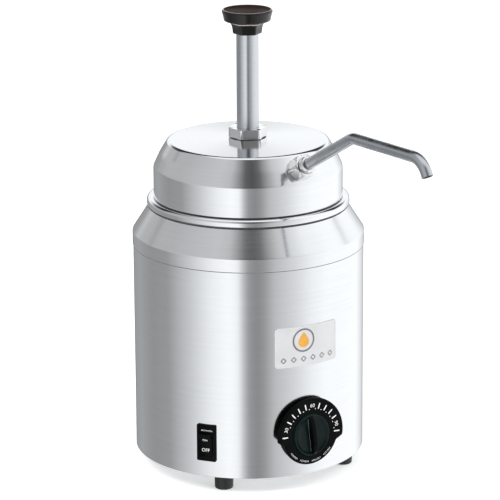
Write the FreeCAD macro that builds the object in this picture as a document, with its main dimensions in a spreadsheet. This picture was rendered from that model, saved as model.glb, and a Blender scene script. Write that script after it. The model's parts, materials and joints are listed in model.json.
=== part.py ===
"""Nacho cheese dispenser: an electrically heated well, a lift-out food jar and a hand pump in its lid.

Millimetres. The origin is on the housing's vertical axis, at the plane that the feet stand on.
+Z is up, and the spout, the dial and the nameplate face -Y.
"""
import FreeCAD, Part
import math
import os
from types import SimpleNamespace

import Sketcher
from FreeCAD import Placement, Rotation, Vector

DRIVING_SIZES = {
    # housing
    "foot_height": 14.0,
    "foot_radius": 8.4,
    "foot_circle": 85.0,
    "foot_recess_radius": 5.0,
    "shell_radius": 100.0,
    "shell_height": 183.0,
    "sheet": 1.0,
    "skirt_radius": 100.5,
    "skirt_height": 11.5,
    "cone_height": 22.5,
    "seat_radius": 86.0,
    "cover_recess": 2.0,
    "cover_sheet": 1.2,
    "cover_screw_circle": 91.0,
    # heated well
    "well_radius": 82.5,
    "well_depth": 153.0,
    "element_circle": 52.0,
    "element_radius": 3.5,
    # controls
    "dial_height": 50.8,
    "dial_radius": 32.2,
    "dial_lobe_radius": 27.0,
    "dial_plane": 102.6,
    "dial_skirt": 2.6,
    "dial_hub_wide": 29.0,
    "dial_hub_tall": 36.0,
    "dial_hub_rise": 4.0,
    "finger_bar_wide": 6.0,
    "finger_bar_rise": 10.0,
    "shaft_radius": 3.0,
    "switch_height": 44.6,
    "switch_wide": 17.4,
    "switch_tall": 32.7,
    "bezel_rise": 2.0,
    "rocker_wide": 11.0,
    "rocker_pivot": 97.2,
    "trunnion_radius": 1.2,
    "gland_height": 40.0,
    "gland_bore_radius": 4.0,
    "plate_height": 129.3,
    "plate_wide": 60.1,
    "plate_tall": 35.3,
    "plate_thickness": 0.6,
    # food jar
    "jar_radius": 79.3,
    "jar_depth": 147.0,
    "jar_sheet": 0.8,
    "jar_flange_radius": 85.3,
    # lid
    "bead_radius": 87.7,
    "bead_height": 6.7,
    "lid_radius": 81.7,
    "lid_wall": 33.0,
    "lid_height": 56.0,
    "lid_top_radius": 69.4,
    "lid_crown": 2.0,
    "lid_land_radius": 22.0,
    "collar_flats": 29.2,
    "collar_height": 8.7,
    # outlet and spout
    "tube_radius": 4.75,
    "tube_bore": 3.85,
    "outlet_radius": 75.88,
    "outlet_rise": 43.9,
    "outlet_angle": 29.1,
    "spout_bend_reach": 152.14,
    "spout_end_reach": 244.67,
    "spout_level_rise": 1.24,
    "spout_tip_reach": 252.17,
    "spout_tip_drop": 12.92,
    "nut_flats": 18.6,
    "nut_length": 12.0,
    "barrel_radius": 7.0,
    "ferrule_length": 5.0,
    # pump
    "cylinder_radius": 16.0,
    "cylinder_bore": 14.0,
    "neck_radius": 12.0,
    "valve_bottom": 88.0,
    "valve_radius": 19.0,
    "riser_offset": 28.0,
    "plunger_radius": 9.5,
    "plunger_bore": 8.3,
    "piston_bottom": 205.0,
    "tube_top": 380.2,
    "knob_radius": 21.7,
    "knob_height": 20.8,
    "spring_radius": 10.5,
    "spring_wire": 0.9,
    "spring_turns": 10.0,
}

FRONT_LEFT, FRONT_RIGHT, REAR_RIGHT, REAR_LEFT = -45.0, 45.0, 135.0, 225.0
SWITCH_TURN = -51.3
COVER_SCREW_TURN = -13.0
ROCKER_TILT = 11.0
DIAL_TURN = -2.8
FINGER_BAR_LEAN = 9.0
LID_TURN = 4.0
COLLAR_TURN = -25.0
ELEMENT_OPENING = 28.0


class Size:
    """A number together with the spreadsheet formula that gives it."""

    def __init__(self, value, formula=None):
        self.value = float(value)
        self.formula = formula or repr(float(value))

    def __float__(self):
        return self.value

    def __add__(self, other):
        other = as_size(other)
        return Size(self.value + other.value, f"({self.formula} + {other.formula})")

    def __sub__(self, other):
        other = as_size(other)
        return Size(self.value - other.value, f"({self.formula} - {other.formula})")

    def __mul__(self, other):
        other = as_size(other)
        return Size(self.value * other.value, f"({self.formula} * {other.formula})")

    def __truediv__(self, other):
        other = as_size(other)
        return Size(self.value / other.value, f"({self.formula} / {other.formula})")

    def __radd__(self, other):
        return as_size(other) + self

    def __rsub__(self, other):
        return as_size(other) - self

    def __rmul__(self, other):
        return as_size(other) * self

    def __neg__(self):
        return 0 - self


def as_size(item):
    """Any plain number as a Size."""
    return item if isinstance(item, Size) else Size(item)


doc = FreeCAD.newDocument("CheeseDispenser")
sheet_object = doc.addObject("Spreadsheet::Sheet", "Dimensions")
for row, (name, number) in enumerate(DRIVING_SIZES.items(), 1):
    sheet_object.set(f"A{row}", name)
    sheet_object.set(f"B{row}", str(number))
    sheet_object.setAlias(f"B{row}", name)
doc.recompute()
d = SimpleNamespace(**{name: Size(number, f"Dimensions.{name}") for name, number in DRIVING_SIZES.items()})

# Heights above the counter, from the feet up.
shell_bottom = d.foot_height
cover_bottom = shell_bottom + d.cover_recess
cover_top = cover_bottom + d.cover_sheet
shell_top = shell_bottom + d.shell_height
skirt_top = shell_top + d.skirt_height
seat = skirt_top + d.cone_height
well_floor = seat - d.well_depth
jar_bottom = seat - d.jar_depth
lid_base = seat + d.sheet
lid_top = lid_base + d.lid_height
lid_peak = lid_top + d.lid_crown
cylinder_top = lid_peak - 2
collar_top = lid_peak + d.collar_height
valve_ledge = d.valve_bottom + 16
valve_top = d.valve_bottom + 28
cylinder_bottom = valve_ledge + 1.2
spring_bottom = cylinder_bottom + 1.5
element_height = well_floor - d.sheet - d.element_radius
outlet_height = lid_base + d.outlet_rise

pieces = []


# ---------------------------------------------------------------- drawing helpers


def new_body(label, many=False):
    """An empty body for one named piece; many lets it hold several separate solids."""
    made = doc.addObject("PartDesign::Body", label)
    made.Label = label
    made.AllowCompound = many
    pieces.append(made)
    return made


def new_shape(label, shape):
    """A piece whose shape is worked out directly."""
    made = doc.addObject("Part::Feature", label)
    made.Label = label
    made.Shape = shape
    made.Placement = Placement()
    pieces.append(made)
    return made


def origin_plane(owner, role):
    """One of the body's own origin planes."""
    return next(item for item in owner.Origin.OriginFeatures if item.Role == role)


def new_sketch(owner, role, height=None, turn=0.0):
    """A sketch on an origin plane, lifted along its normal by height and turned about the plane's upright."""
    made = owner.newObject("Sketcher::SketchObject", f"{owner.Label}_sketch")
    made.AttachmentSupport = [(origin_plane(owner, role), "")]
    made.MapMode = "FlatFace"
    made.AttachmentOffset = Placement(Vector(), Rotation(Vector(0, 1, 0), turn))
    if height is not None:
        made.AttachmentOffset = Placement(Vector(0, 0, float(height)), Rotation(Vector(0, 1, 0), turn))
        made.setExpression("AttachmentOffset.Base.z", as_size(height).formula)
    return made


def bind(sketch, kind, name, value, *places):
    """A named constraint whose value follows the spreadsheet."""
    value = as_size(value)
    index = sketch.addConstraint(Sketcher.Constraint(kind, *places, value.value))
    sketch.renameConstraint(index, name)
    if "Dimensions" in value.formula:
        sketch.setExpression(f"Constraints.{name}", value.formula)


def outline(sketch, corners):
    """A closed outline through corners, each (across, up) or (across, up, rounding)."""
    spots = [Vector(float(corner[0]), float(corner[1]), 0) for corner in corners]
    count, first = len(spots), sketch.GeometryCount
    for spot, following in zip(spots, spots[1:] + spots[:1]):
        sketch.addGeometry(Part.LineSegment(spot, following))
    for index in range(count):
        ends = (first + index, 2, first + (index + 1) % count, 1)
        sketch.addConstraint(Sketcher.Constraint("Coincident", *ends))
    for index, corner in enumerate(corners):
        line = first + index
        bind(sketch, "DistanceX", f"across{line}", corner[0], -1, 1, line, 1)
        bind(sketch, "DistanceY", f"up{line}", corner[1], -1, 1, line, 1)
    for index, corner in enumerate(corners):
        if len(corner) == 3:
            round_corner(sketch, first, count, index, spots, corner[2])


def round_corner(sketch, first, count, index, spots, radius):
    """Rounds one corner of an outline and keeps the corner point's own constraints."""
    arc = sketch.GeometryCount
    here, before, after = spots[index], spots[index - 1], spots[(index + 1) % count]
    reach = float(radius)
    near_before = here + (before - here).normalize() * reach
    near_after = here + (after - here).normalize() * reach
    lines = (first + (index - 1) % count, first + index)
    sketch.fillet(*lines, near_before, near_after, reach, True, True)
    bind(sketch, "Radius", f"rounding{arc}", radius, arc)


def circle(sketch, across, up, radius):
    """A circle centred at (across, up)."""
    centre = Vector(float(across), float(up), 0)
    index = sketch.addGeometry(Part.Circle(centre, Vector(0, 0, 1), float(radius)))
    bind(sketch, "DistanceX", f"centre_across{index}", across, -1, 1, index, 3)
    bind(sketch, "DistanceY", f"centre_up{index}", up, -1, 1, index, 3)
    bind(sketch, "Radius", f"radius{index}", radius, index)


def rectangle(sketch, across, up, wide, tall, rounding=None):
    """A rectangle centred at (across, up), its corners rounded if asked."""
    extra = () if rounding is None else (rounding,)
    left, right = across - as_size(wide) / 2, across + as_size(wide) / 2
    low, high = up - as_size(tall) / 2, up + as_size(tall) / 2
    outline(sketch, [(left, low, *extra), (right, low, *extra), (right, high, *extra), (left, high, *extra)])


def hexagon(sketch, flats):
    """A regular hexagon about the origin, with two of its flats facing up and down the page."""
    half = as_size(flats) / 2
    corner = half * (2 / math.sqrt(3))
    side = corner / 2
    outline(sketch, [(corner, 0), (side, half), (-side, half), (-corner, 0), (-side, -half), (side, -half)])


def shape_feature(owner, kind, sketch, **settings):
    """A PartDesign feature made from a sketch; a Size among the settings is bound to the sheet."""
    made = owner.newObject(f"PartDesign::{kind}", f"{owner.Label}_{kind.lower()}")
    made.Profile = sketch
    for name, value in settings.items():
        setattr(made, name, float(value) if isinstance(value, Size) else value)
        if isinstance(value, Size):
            made.setExpression(name, value.formula)
    owner.Tip = made
    return made


def pad(owner, sketch, length, both_ways=False):
    """Material from the sketch outwards along its normal, or half of it to each side."""
    return shape_feature(owner, "Pad", sketch, Length=as_size(length), Midplane=both_ways)


def pocket(owner, sketch, length, both_ways=False, outwards=False):
    """A cut against the sketch's normal, half to each side, or outwards along the normal."""
    settings = {"Length": as_size(length), "Midplane": both_ways, "Reversed": outwards}
    return shape_feature(owner, "Pocket", sketch, **settings)


def turned(owner, kind, sketch):
    """A full turn of a sketch about its own upright axis."""
    return shape_feature(owner, kind, sketch, ReferenceAxis=(sketch, ["V_Axis"]), Angle=360.0)


def lathe(label, corners):
    """A body turned about +Z from an outline of (radius, height) corners."""
    owner = new_body(label)
    profile = new_sketch(owner, "XZ_Plane")
    outline(profile, corners)
    turned(owner, "Revolution", profile)
    return owner


def lathe_cut(owner, corners, forward=None):
    """Turns an outline of (radius, height) corners away, about +Z or an upright line forward of it."""
    profile = new_sketch(owner, "XZ_Plane", forward)
    outline(profile, corners)
    turned(owner, "Groove", profile)


def ring_of(owner, features, count):
    """Repeats features evenly round the body's Z axis."""
    made = owner.newObject("PartDesign::PolarPattern", f"{owner.Label}_ring")
    made.Originals = features
    made.Axis = (origin_plane(owner, "Z_Axis"), [""])
    made.Angle = 360.0
    made.Occurrences = count
    owner.Tip = made


def ring_of_holes(owner, turn, count, circle_radius, radius, height, depth):
    """Round holes down from height, the first one turn degrees round from the front."""
    holes = new_sketch(owner, "XY_Plane", height)
    circle(holes, *around(circle_radius, turn), radius)
    first = pocket(owner, holes, depth)
    ring_of(owner, [first], count)


def around(radius, turn):
    """The (across, up) of a point on a circle, turn degrees round from the front towards +X."""
    return radius * math.sin(math.radians(turn)), -radius * math.cos(math.radians(turn))


def face_out(owner, turn, height):
    """Stands a body so that its Z points away from the housing's axis and its Y points up."""
    stand = Rotation(Vector(0, 0, 1), turn) * Rotation(Vector(1, 0, 0), 90)
    owner.Placement = Placement(Vector(0, 0, float(height)), stand)
    owner.setExpression("Placement.Base.z", as_size(height).formula)


def hex_block(owner, flats, bottom, top, bore, bevel):
    """A hexagonal nut or collar along the body's Z, its outer corners turned down at the top."""
    plan = new_sketch(owner, "XY_Plane", bottom)
    hexagon(plan, flats)
    pad(owner, plan, as_size(top) - bottom)
    corner = as_size(flats) / math.sqrt(3)
    flat = as_size(flats) / 2 - 0.3
    lathe_cut(owner, [(flat, top + 1), (flat, top), (corner + 0.5, top - bevel), (corner + 0.5, top + 1)])
    lathe_cut(owner, [(0, bottom - 1), (bore, bottom - 1), (bore, top + 1), (0, top + 1)])


def swept_tube(label, routes, radius, bore=None, bend=None):
    """One tube per route. A route is straight runs joined by arcs tangent to both."""
    tubes = []
    for route in routes:
        path = bent_path([Vector(*[float(value) for value in point]) for point in route], bend)
        solid = section_along(path, float(radius))
        if bore is not None:
            solid = solid.cut(section_along(path, float(bore)))
        tubes.append(solid)
    return new_shape(label, tubes[0] if len(tubes) == 1 else Part.makeCompound(tubes))


def bent_path(points, bend):
    """A wire through points whose corners are arcs of the given radii, or as large as the runs allow."""
    edges, start = [], points[0]
    for index in range(1, len(points) - 1):
        corner = points[index]
        back, onward = points[index - 1] - corner, points[index + 1] - corner
        half_turn = (math.pi - back.getAngle(onward)) / 2
        room = 0.45 * min(back.Length, onward.Length)
        reach = room if bend is None else float(bend[index - 1]) * math.tan(half_turn)
        enter = corner + back.normalize() * reach
        leave = corner + onward.normalize() * reach
        middle = arc_middle(corner, enter, leave, half_turn, reach)
        edges.append(Part.LineSegment(start, enter).toShape())
        edges.append(Part.Arc(enter, middle, leave).toShape())
        start = leave
    edges.append(Part.LineSegment(start, points[-1]).toShape())
    return Part.Wire(edges)


def arc_middle(corner, enter, leave, half_turn, reach):
    """The middle of the arc that leaves one run at enter and joins the next at leave."""
    radius = reach / math.tan(half_turn)
    inwards = ((enter + leave) / 2 - corner).normalize()
    return corner + inwards * (radius / math.cos(half_turn) - radius)


def section_along(path, radius):
    """A round bar of this radius along a path."""
    first = path.Edges[0]
    start, heading = first.valueAt(first.FirstParameter), first.tangentAt(first.FirstParameter)
    ring = Part.Wire(Part.makeCircle(radius, start, heading))
    return path.makePipeShell([ring], True, False)


# ---------------------------------------------------------------- housing


def make_outer_shell():
    """The rolled cylinder, with openings for the thermostat, the switch and the cord inlet."""
    inner = d.shell_radius - d.sheet
    outer = d.shell_radius
    corners = [(inner, shell_bottom), (outer, shell_bottom), (outer, shell_top), (inner, shell_top)]
    shell = lathe("outer_shell", corners)
    shaft_hole = new_sketch(shell, "XZ_Plane")
    circle(shaft_hole, 0, d.dial_height, 7)
    circle(shaft_hole, 13, d.dial_height, 2.1)
    circle(shaft_hole, -13, d.dial_height, 2.1)
    pocket(shell, shaft_hole, d.shell_radius + 5, outwards=True)
    switch_hole = new_sketch(shell, "XZ_Plane", turn=SWITCH_TURN)
    rectangle(switch_hole, 0, d.switch_height, 13.6, 28.8)
    pocket(shell, switch_hole, d.shell_radius + 5, outwards=True)
    cord_hole = new_sketch(shell, "XZ_Plane")
    circle(cord_hole, 0, d.gland_height, 6.7)
    pocket(shell, cord_hole, d.shell_radius + 5)


def make_shoulder_ring():
    """A lip inside the shell, a short skirt over it, a cone, and the flat seat that the jar hangs on."""
    lip = d.shell_radius - d.sheet - 0.1
    inner_skirt = d.skirt_radius - d.sheet
    seat_bore = d.well_radius - d.sheet
    lathe(
        "shoulder_ring",
        [
            (lip - d.sheet, shell_top - 9),
            (lip, shell_top - 9),
            (lip, shell_top),
            (d.skirt_radius, shell_top, 0.6),
            (d.skirt_radius, skirt_top, 1.6),
            (d.seat_radius, seat, 0.8),
            (seat_bore, seat),
            (seat_bore, seat - d.sheet),
            (d.seat_radius - 0.5, seat - d.sheet),
            (inner_skirt, skirt_top - 0.4),
            (inner_skirt, shell_top + d.sheet),
            (lip - d.sheet, shell_top + d.sheet),
        ],
    )


def make_base_plate():
    """The flat bottom cover, set a little inside the shell."""
    plate_radius = d.shell_radius - d.sheet - 0.6
    corners = [(0, cover_bottom), (plate_radius, cover_bottom), (plate_radius, cover_top), (0, cover_top)]
    plate = lathe("base_plate", corners)
    ring_of_holes(plate, FRONT_RIGHT, 4, d.foot_circle, 2.3, cover_top, 3)
    ring_of_holes(plate, COVER_SCREW_TURN, 4, d.cover_screw_circle, 1.9, cover_top, 3)


def make_foot(label, turn):
    """A rubber foot with a recess from below for its screw."""
    across, along = around(d.foot_circle, turn)
    foot = lathe(
        label,
        [
            (d.foot_recess_radius, 0),
            (d.foot_radius - 0.4, 0, 0.8),
            (d.foot_radius, cover_bottom),
            (2.2, cover_bottom),
            (2.2, 7),
            (4.4, 7),
            (4.4, 4),
            (d.foot_recess_radius, 4),
        ],
    )
    foot.Placement = Placement(Vector(float(across), float(along), 0), Rotation())
    foot.setExpression("Placement.Base.x", across.formula)
    foot.setExpression("Placement.Base.y", along.formula)


def make_screws(label, turn, count, circle_radius, head, shank, levels):
    """Pan-head screws on a circle, heads down: levels are the head's bottom, its seat and the tip."""
    screws = new_body(label, many=True)
    low, seat_level, tip = levels
    heads = new_sketch(screws, "XY_Plane", low)
    circle(heads, *around(circle_radius, turn), head)
    head_pad = pad(screws, heads, seat_level - low)
    shanks = new_sketch(screws, "XY_Plane", seat_level)
    circle(shanks, *around(circle_radius, turn), shank)
    shank_pad = pad(screws, shanks, tip - seat_level)
    ring_of(screws, [head_pad, shank_pad], count)


def make_foot_nuts():
    """Hexagonal nuts on the foot screws, on top of the bottom cover."""
    nuts = new_body("foot_nuts", many=True)
    plan = new_sketch(nuts, "XY_Plane", cover_top)
    across, along = around(d.foot_circle, FRONT_RIGHT)
    half, corner = 3.5, 7 / math.sqrt(3)
    outline(
        plan,
        [
            (across + corner, along),
            (across + corner / 2, along + half),
            (across - corner / 2, along + half),
            (across - corner, along),
            (across - corner / 2, along - half),
            (across + corner / 2, along - half),
        ],
    )
    circle(plan, across, along, 2.05)
    ring_of(nuts, [pad(nuts, plan, 3.2)], 4)


def make_base_brackets():
    """Angle brackets welded inside the shell, which take the cover screws."""
    brackets = new_body("base_brackets", many=True)
    side = new_sketch(brackets, "YZ_Plane")
    side.AttachmentOffset = Placement(Vector(), Rotation(Vector(0, 1, 0), COVER_SCREW_TURN))
    back = d.shell_radius - d.sheet - 0.5
    outline(
        side,
        [
            (-back, cover_top),
            (14 - back, cover_top),
            (14 - back, cover_top + 1.5),
            (1.5 - back, cover_top + 1.5),
            (1.5 - back, cover_top + 15),
            (-back, cover_top + 15),
        ],
    )
    angle = pad(brackets, side, 12, both_ways=True)
    hole = new_sketch(brackets, "XY_Plane", cover_top + 3)
    circle(hole, *around(d.cover_screw_circle, COVER_SCREW_TURN), 1.75)
    bored = pocket(brackets, hole, 5)
    ring_of(brackets, [angle, bored], 4)


def make_heating_well():
    """The drawn pan that holds the water bath, hung by its flange under the seat."""
    inner = d.well_radius - d.sheet
    top = seat - d.sheet
    lathe(
        "heating_well",
        [
            (0, well_floor - d.sheet),
            (d.well_radius, well_floor - d.sheet, 6),
            (d.well_radius, top - d.sheet),
            (d.well_radius + 2.7, top - d.sheet),
            (d.well_radius + 2.7, top),
            (inner, top),
            (inner, well_floor, 5),
            (0, well_floor),
        ],
    )


def make_insulation():
    """The blanket between the well and the shell."""
    inner, outer = d.well_radius + 0.6, d.shell_radius - 3
    low, high = well_floor + 5, shell_top - 11
    lathe("insulation_blanket", [(inner, low), (outer, low), (outer, high), (inner, high)])


def element_leg(side):
    """Where a terminal leg of the element starts and turns: foot, knee start, knee middle, ring end."""
    knee, leg = 8.0, 9.0
    turn = side * (180.0 - ELEMENT_OPENING)
    ring_end = Vector(*around(float(d.element_circle), turn), float(element_height))
    heading = Vector(math.cos(math.radians(turn)), math.sin(math.radians(turn)), 0) * -side
    up = Vector(0, 0, 1)
    knee_start = ring_end - heading * knee - up * knee
    knee_middle = ring_end - up * knee + (up - heading) * (knee / math.sqrt(2))
    return knee_start - up * leg, knee_start, knee_middle, ring_end


def make_heating_element():
    """A tubular ring under the well, open at the back, with two terminal legs pointing down."""
    foot, knee_start, knee_middle, ring_start = element_leg(1)
    far_foot, far_knee, far_middle, ring_end = element_leg(-1)
    front = Vector(0, -float(d.element_circle), float(element_height))
    path = [
        Part.LineSegment(foot, knee_start),
        Part.Arc(knee_start, knee_middle, ring_start),
        Part.Arc(ring_start, front, ring_end),
        Part.Arc(ring_end, far_middle, far_knee),
        Part.LineSegment(far_knee, far_foot),
    ]
    wire = Part.Wire([edge.toShape() for edge in path])
    new_shape("heating_element", section_along(wire, float(d.element_radius)))


def make_element_clamp():
    """A bar across the ring, pulled up by a nut on a stud welded to the well."""
    under = well_floor - d.sheet
    bar_top = element_height - d.element_radius
    bar = new_body("element_clamp")
    plan = new_sketch(bar, "XY_Plane", bar_top - 1.6)
    rectangle(plan, 0, 0, 118, 14, 3)
    circle(plan, 0, 0, 2.6)
    pad(bar, plan, 1.6)
    lathe("clamp_stud", [(0, under - 15), (2.5, under - 15), (2.5, under), (0, under)])
    nut = new_body("clamp_nut")
    hex_block(nut, 8, bar_top - 5.6, bar_top - 1.6, 2.55, 0.5)


def make_thermal_cutoff():
    """A round snap-disc switch against the well's underside."""
    under = well_floor - d.sheet
    cutoff = new_body("thermal_cutoff")
    for radius, low, high in ((8, under - 5, under), (6, under - 9, under - 5)):
        plan = new_sketch(cutoff, "XY_Plane", low)
        circle(plan, 0, 27, radius)
        pad(cutoff, plan, high - low)


def make_thermostat():
    """The control behind the dial, its bushing through the shell, and its two fixing screws."""
    front = d.shell_radius - 4
    control = new_body("thermostat_body")
    plan = new_sketch(control, "XY_Plane", front - 36)
    rectangle(plan, 0, 0, 36, 33, 2)
    pad(control, plan, 36)
    bushing = new_sketch(control, "XY_Plane", front)
    circle(bushing, 0, 0, 4.8)
    pad(control, bushing, 4.6)
    bore = new_sketch(control, "XY_Plane", front + 4.6)
    circle(bore, 0, 0, d.shaft_radius + 0.05)
    pocket(control, bore, 12)
    face_out(control, 0, d.dial_height)
    screws = new_body("thermostat_screws", many=True)
    seat_level = d.shell_radius - 0.4
    for side in (-13, 13):
        head = new_sketch(screws, "XY_Plane", seat_level)
        circle(head, side, 0, 3.4)
        pad(screws, head, 1.1)
        shank = new_sketch(screws, "XY_Plane", front)
        circle(shank, side, 0, 1.9)
        pad(screws, shank, seat_level - front)
    face_out(screws, 0, d.dial_height)


def make_bulb():
    """The thermostat's sensing bulb under the well, and the capillary that joins the two."""
    level = well_floor - d.sheet - 3.1
    bulb = new_body("sensing_bulb")
    end = new_sketch(bulb, "YZ_Plane")
    circle(end, -24, level, 3)
    pad(bulb, end, 56, both_ways=True)
    high, side = float(level), 18.0
    route = [(28, -24, high), (39, -24, high), (39, -42, 60), (33, -78, 56), (side, -78, 56)]
    swept_tube("capillary_tube", [route], 0.8)


def make_dial():
    """The thermostat's shaft and the one-piece dial: skirt, hub and finger bar."""
    shaft = new_body("thermostat_shaft")
    inner_end = d.shell_radius - 8
    plan = new_sketch(shaft, "XY_Plane", inner_end)
    circle(plan, 0, 0, d.shaft_radius)
    pad(shaft, plan, 20)
    face_out(shaft, 0, d.dial_height)
    dial = new_body("temperature_dial")
    plan = new_sketch(dial, "XY_Plane", d.dial_plane)
    dial_outline(plan)
    pad(dial, plan, d.dial_skirt)
    face = d.dial_plane + d.dial_skirt
    hub = new_sketch(dial, "XY_Plane", face)
    rectangle(hub, 0, -1, d.dial_hub_wide, d.dial_hub_tall, d.dial_hub_wide / 2 - 1.5)
    pad(dial, hub, d.dial_hub_rise)
    bar = new_sketch(dial, "XY_Plane", face + d.dial_hub_rise)
    rectangle(bar, 0, 0, d.finger_bar_wide, d.dial_hub_tall - 2, d.finger_bar_wide / 2 - 0.6)
    bar.AttachmentOffset = Placement(bar.AttachmentOffset.Base, Rotation(Vector(0, 0, 1), FINGER_BAR_LEAN))
    pad(dial, bar, d.finger_bar_rise)
    bore = new_sketch(dial, "XY_Plane", d.dial_plane)
    circle(bore, 0, 0, d.shaft_radius)
    pocket(dial, bore, inner_end + 20 - d.dial_plane, outwards=True)
    face_out(dial, 0, d.dial_height)
    stand = dial.Placement.Rotation * Rotation(Vector(0, 0, 1), DIAL_TURN)
    dial.Placement = Placement(dial.Placement.Base, stand)


def dial_outline(sketch):
    """A wide arc above a smaller lobe, joined by two slanted shoulders."""
    big, small = float(d.dial_radius), float(d.dial_lobe_radius)
    wide_drop, lobe_drop = 3.85, 7.8
    wide_angle = math.asin(wide_drop / big)
    lobe_angle = math.asin(lobe_drop / small)
    middle, up = Vector(), Vector(0, 0, 1)
    wide = Part.ArcOfCircle(Part.Circle(middle, up, big), -wide_angle, math.pi + wide_angle)
    lobe = Part.ArcOfCircle(Part.Circle(middle, up, small), math.pi + lobe_angle, 2 * math.pi - lobe_angle)
    sketch.addGeometry([wide, Part.LineSegment(wide.EndPoint, lobe.StartPoint), lobe])
    sketch.addGeometry(Part.LineSegment(lobe.EndPoint, wide.StartPoint))
    for ends in ((0, 2, 1, 1), (1, 2, 2, 1), (2, 2, 3, 1), (3, 2, 0, 1)):
        sketch.addConstraint(Sketcher.Constraint("Coincident", *ends))
    for arc, radius, drop in ((0, d.dial_radius, wide_drop), (2, d.dial_lobe_radius, lobe_drop)):
        sketch.addConstraint(Sketcher.Constraint("Coincident", arc, 3, -1, 1))
        bind(sketch, "Radius", f"radius{arc}", radius, arc)
        for end in (1, 2):
            bind(sketch, "DistanceY", f"drop{arc}_{end}", -drop, -1, 1, arc, end)


def make_switch():
    """The rocker switch: its snap-in housing and the rocker on two trunnions."""
    housing = new_body("switch_housing")
    behind = new_sketch(housing, "XY_Plane", d.shell_radius - 18)
    rectangle(behind, 0, 0, 13.2, 28.4)
    pad(housing, behind, 18.1)
    bezel = new_sketch(housing, "XY_Plane", d.shell_radius + 0.1)
    rectangle(bezel, 0, 0, d.switch_wide, d.switch_tall, 1.2)
    pad(housing, bezel, d.bezel_rise)
    cavity = new_sketch(housing, "XY_Plane", d.shell_radius + 0.1 + d.bezel_rise)
    rectangle(cavity, 0, 0, d.rocker_wide + 0.6, 24)
    pocket(housing, cavity, 14)
    bearing = new_sketch(housing, "YZ_Plane")
    circle(bearing, 0, d.rocker_pivot, d.trunnion_radius + 0.06)
    pocket(housing, bearing, d.rocker_wide + 1.8, both_ways=True)
    for level in (-8, 8):
        blade = new_sketch(housing, "XY_Plane", d.shell_radius - 25)
        rectangle(blade, 0, level, 0.8, 6.3)
        pad(housing, blade, 8)
    face_out(housing, SWITCH_TURN, d.switch_height)
    rocker = new_body("switch_rocker")
    side = new_sketch(rocker, "YZ_Plane")
    outline(side, [(-10.3, 6.6, 0.6), (0, 4.4), (10.3, 6.6, 0.6), (8.5, -2.2, 1), (-8.5, -2.2, 1)])
    pad(rocker, side, d.rocker_wide, both_ways=True)
    trunnion = new_sketch(rocker, "YZ_Plane")
    circle(trunnion, 0, 0, d.trunnion_radius)
    pad(rocker, trunnion, d.rocker_wide + 1.6, both_ways=True)
    stand = Rotation(Vector(0, 0, 1), SWITCH_TURN) * Rotation(Vector(1, 0, 0), 90 + ROCKER_TILT)
    across, along = around(d.rocker_pivot, SWITCH_TURN)
    rocker.Placement = Placement(Vector(float(across), float(along), float(d.switch_height)), stand)
    for axis, value in (("x", across), ("y", along), ("z", d.switch_height)):
        rocker.setExpression(f"Placement.Base.{axis}", value.formula)


def make_cord_inlet():
    """The nylon bushing where the supply cord would enter at the back, and its nut."""
    bore, outside = d.gland_bore_radius, d.shell_radius
    gland = lathe(
        "cord_gland",
        [
            (bore, outside - 8),
            (6.5, outside - 8),
            (6.5, outside),
            (9, outside),
            (9, outside + 2.5, 1),
            (bore, outside + 2.5),
        ],
    )
    face_out(gland, 180, d.gland_height)
    nut = new_body("gland_nut")
    hex_block(nut, 17, outside - 6.8, outside - 1.8, 6.55, 0.8)
    face_out(nut, 180, d.gland_height)


def make_wiring():
    """The terminal block on the bottom cover and the leads between the electrical parts."""
    block = new_body("terminal_block")
    plan = new_sketch(block, "XY_Plane", cover_top)
    rectangle(plan, 0, 48, 36, 18, 1.5)
    pad(block, plan, 14)
    screws = new_sketch(block, "XY_Plane", cover_top + 14)
    for side in (-11, 0, 11):
        circle(screws, side, 48, 2.4)
    pocket(block, screws, 5)
    near_leg, far_leg = element_leg(1)[0], element_leg(-1)[0]
    drop = Vector(0, 0, 12)
    to_thermostat = [(-4, 39, 24), (-4, 14, 24), (-8, -26, 48), (-8, -59.9, 48)]
    to_switch = [(-11, 39, 24), (-11, 16, 24), (-42.9, -34.4, 36.6), (-58.4, -46.8, 36.6)]
    to_element = [(8, -59.9, 48), (8, -30, 48), (12, 20, 40), near_leg - drop, near_leg]
    to_block = [(11, 39, 24), (11, 24, 24), (-16, 22, 40), far_leg - drop, far_leg]
    swept_tube("lead_wires", [to_thermostat, to_switch, to_element, to_block], 1.1)


def make_nameplate():
    """A thin plate with rounded corners, bent to the shell."""
    plate = new_body("nameplate")
    face = new_sketch(plate, "XZ_Plane", d.shell_radius - 8)
    rectangle(face, 0, d.plate_height, d.plate_wide, d.plate_tall, 3)
    pad(plate, face, 12)
    low, high = d.plate_height - d.plate_tall, d.plate_height + d.plate_tall
    outer = d.shell_radius + d.plate_thickness
    lathe_cut(plate, [(0, low), (d.shell_radius, low), (d.shell_radius, high), (0, high)])
    lathe_cut(plate, [(outer, low), (outer + 12, low), (outer + 12, high), (outer, high)])


# ---------------------------------------------------------------- food jar


def make_food_jar():
    """The lift-out jar, hung on the seat by its flange."""
    inner = d.jar_radius - d.jar_sheet
    lathe(
        "food_jar",
        [
            (0, jar_bottom),
            (d.jar_radius, jar_bottom, 8),
            (d.jar_radius, seat),
            (d.jar_flange_radius, seat),
            (d.jar_flange_radius, lid_base),
            (inner, lid_base),
            (inner, jar_bottom + d.jar_sheet, 7.2),
            (0, jar_bottom + d.jar_sheet),
        ],
    )


# ---------------------------------------------------------------- lid and pump


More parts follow.
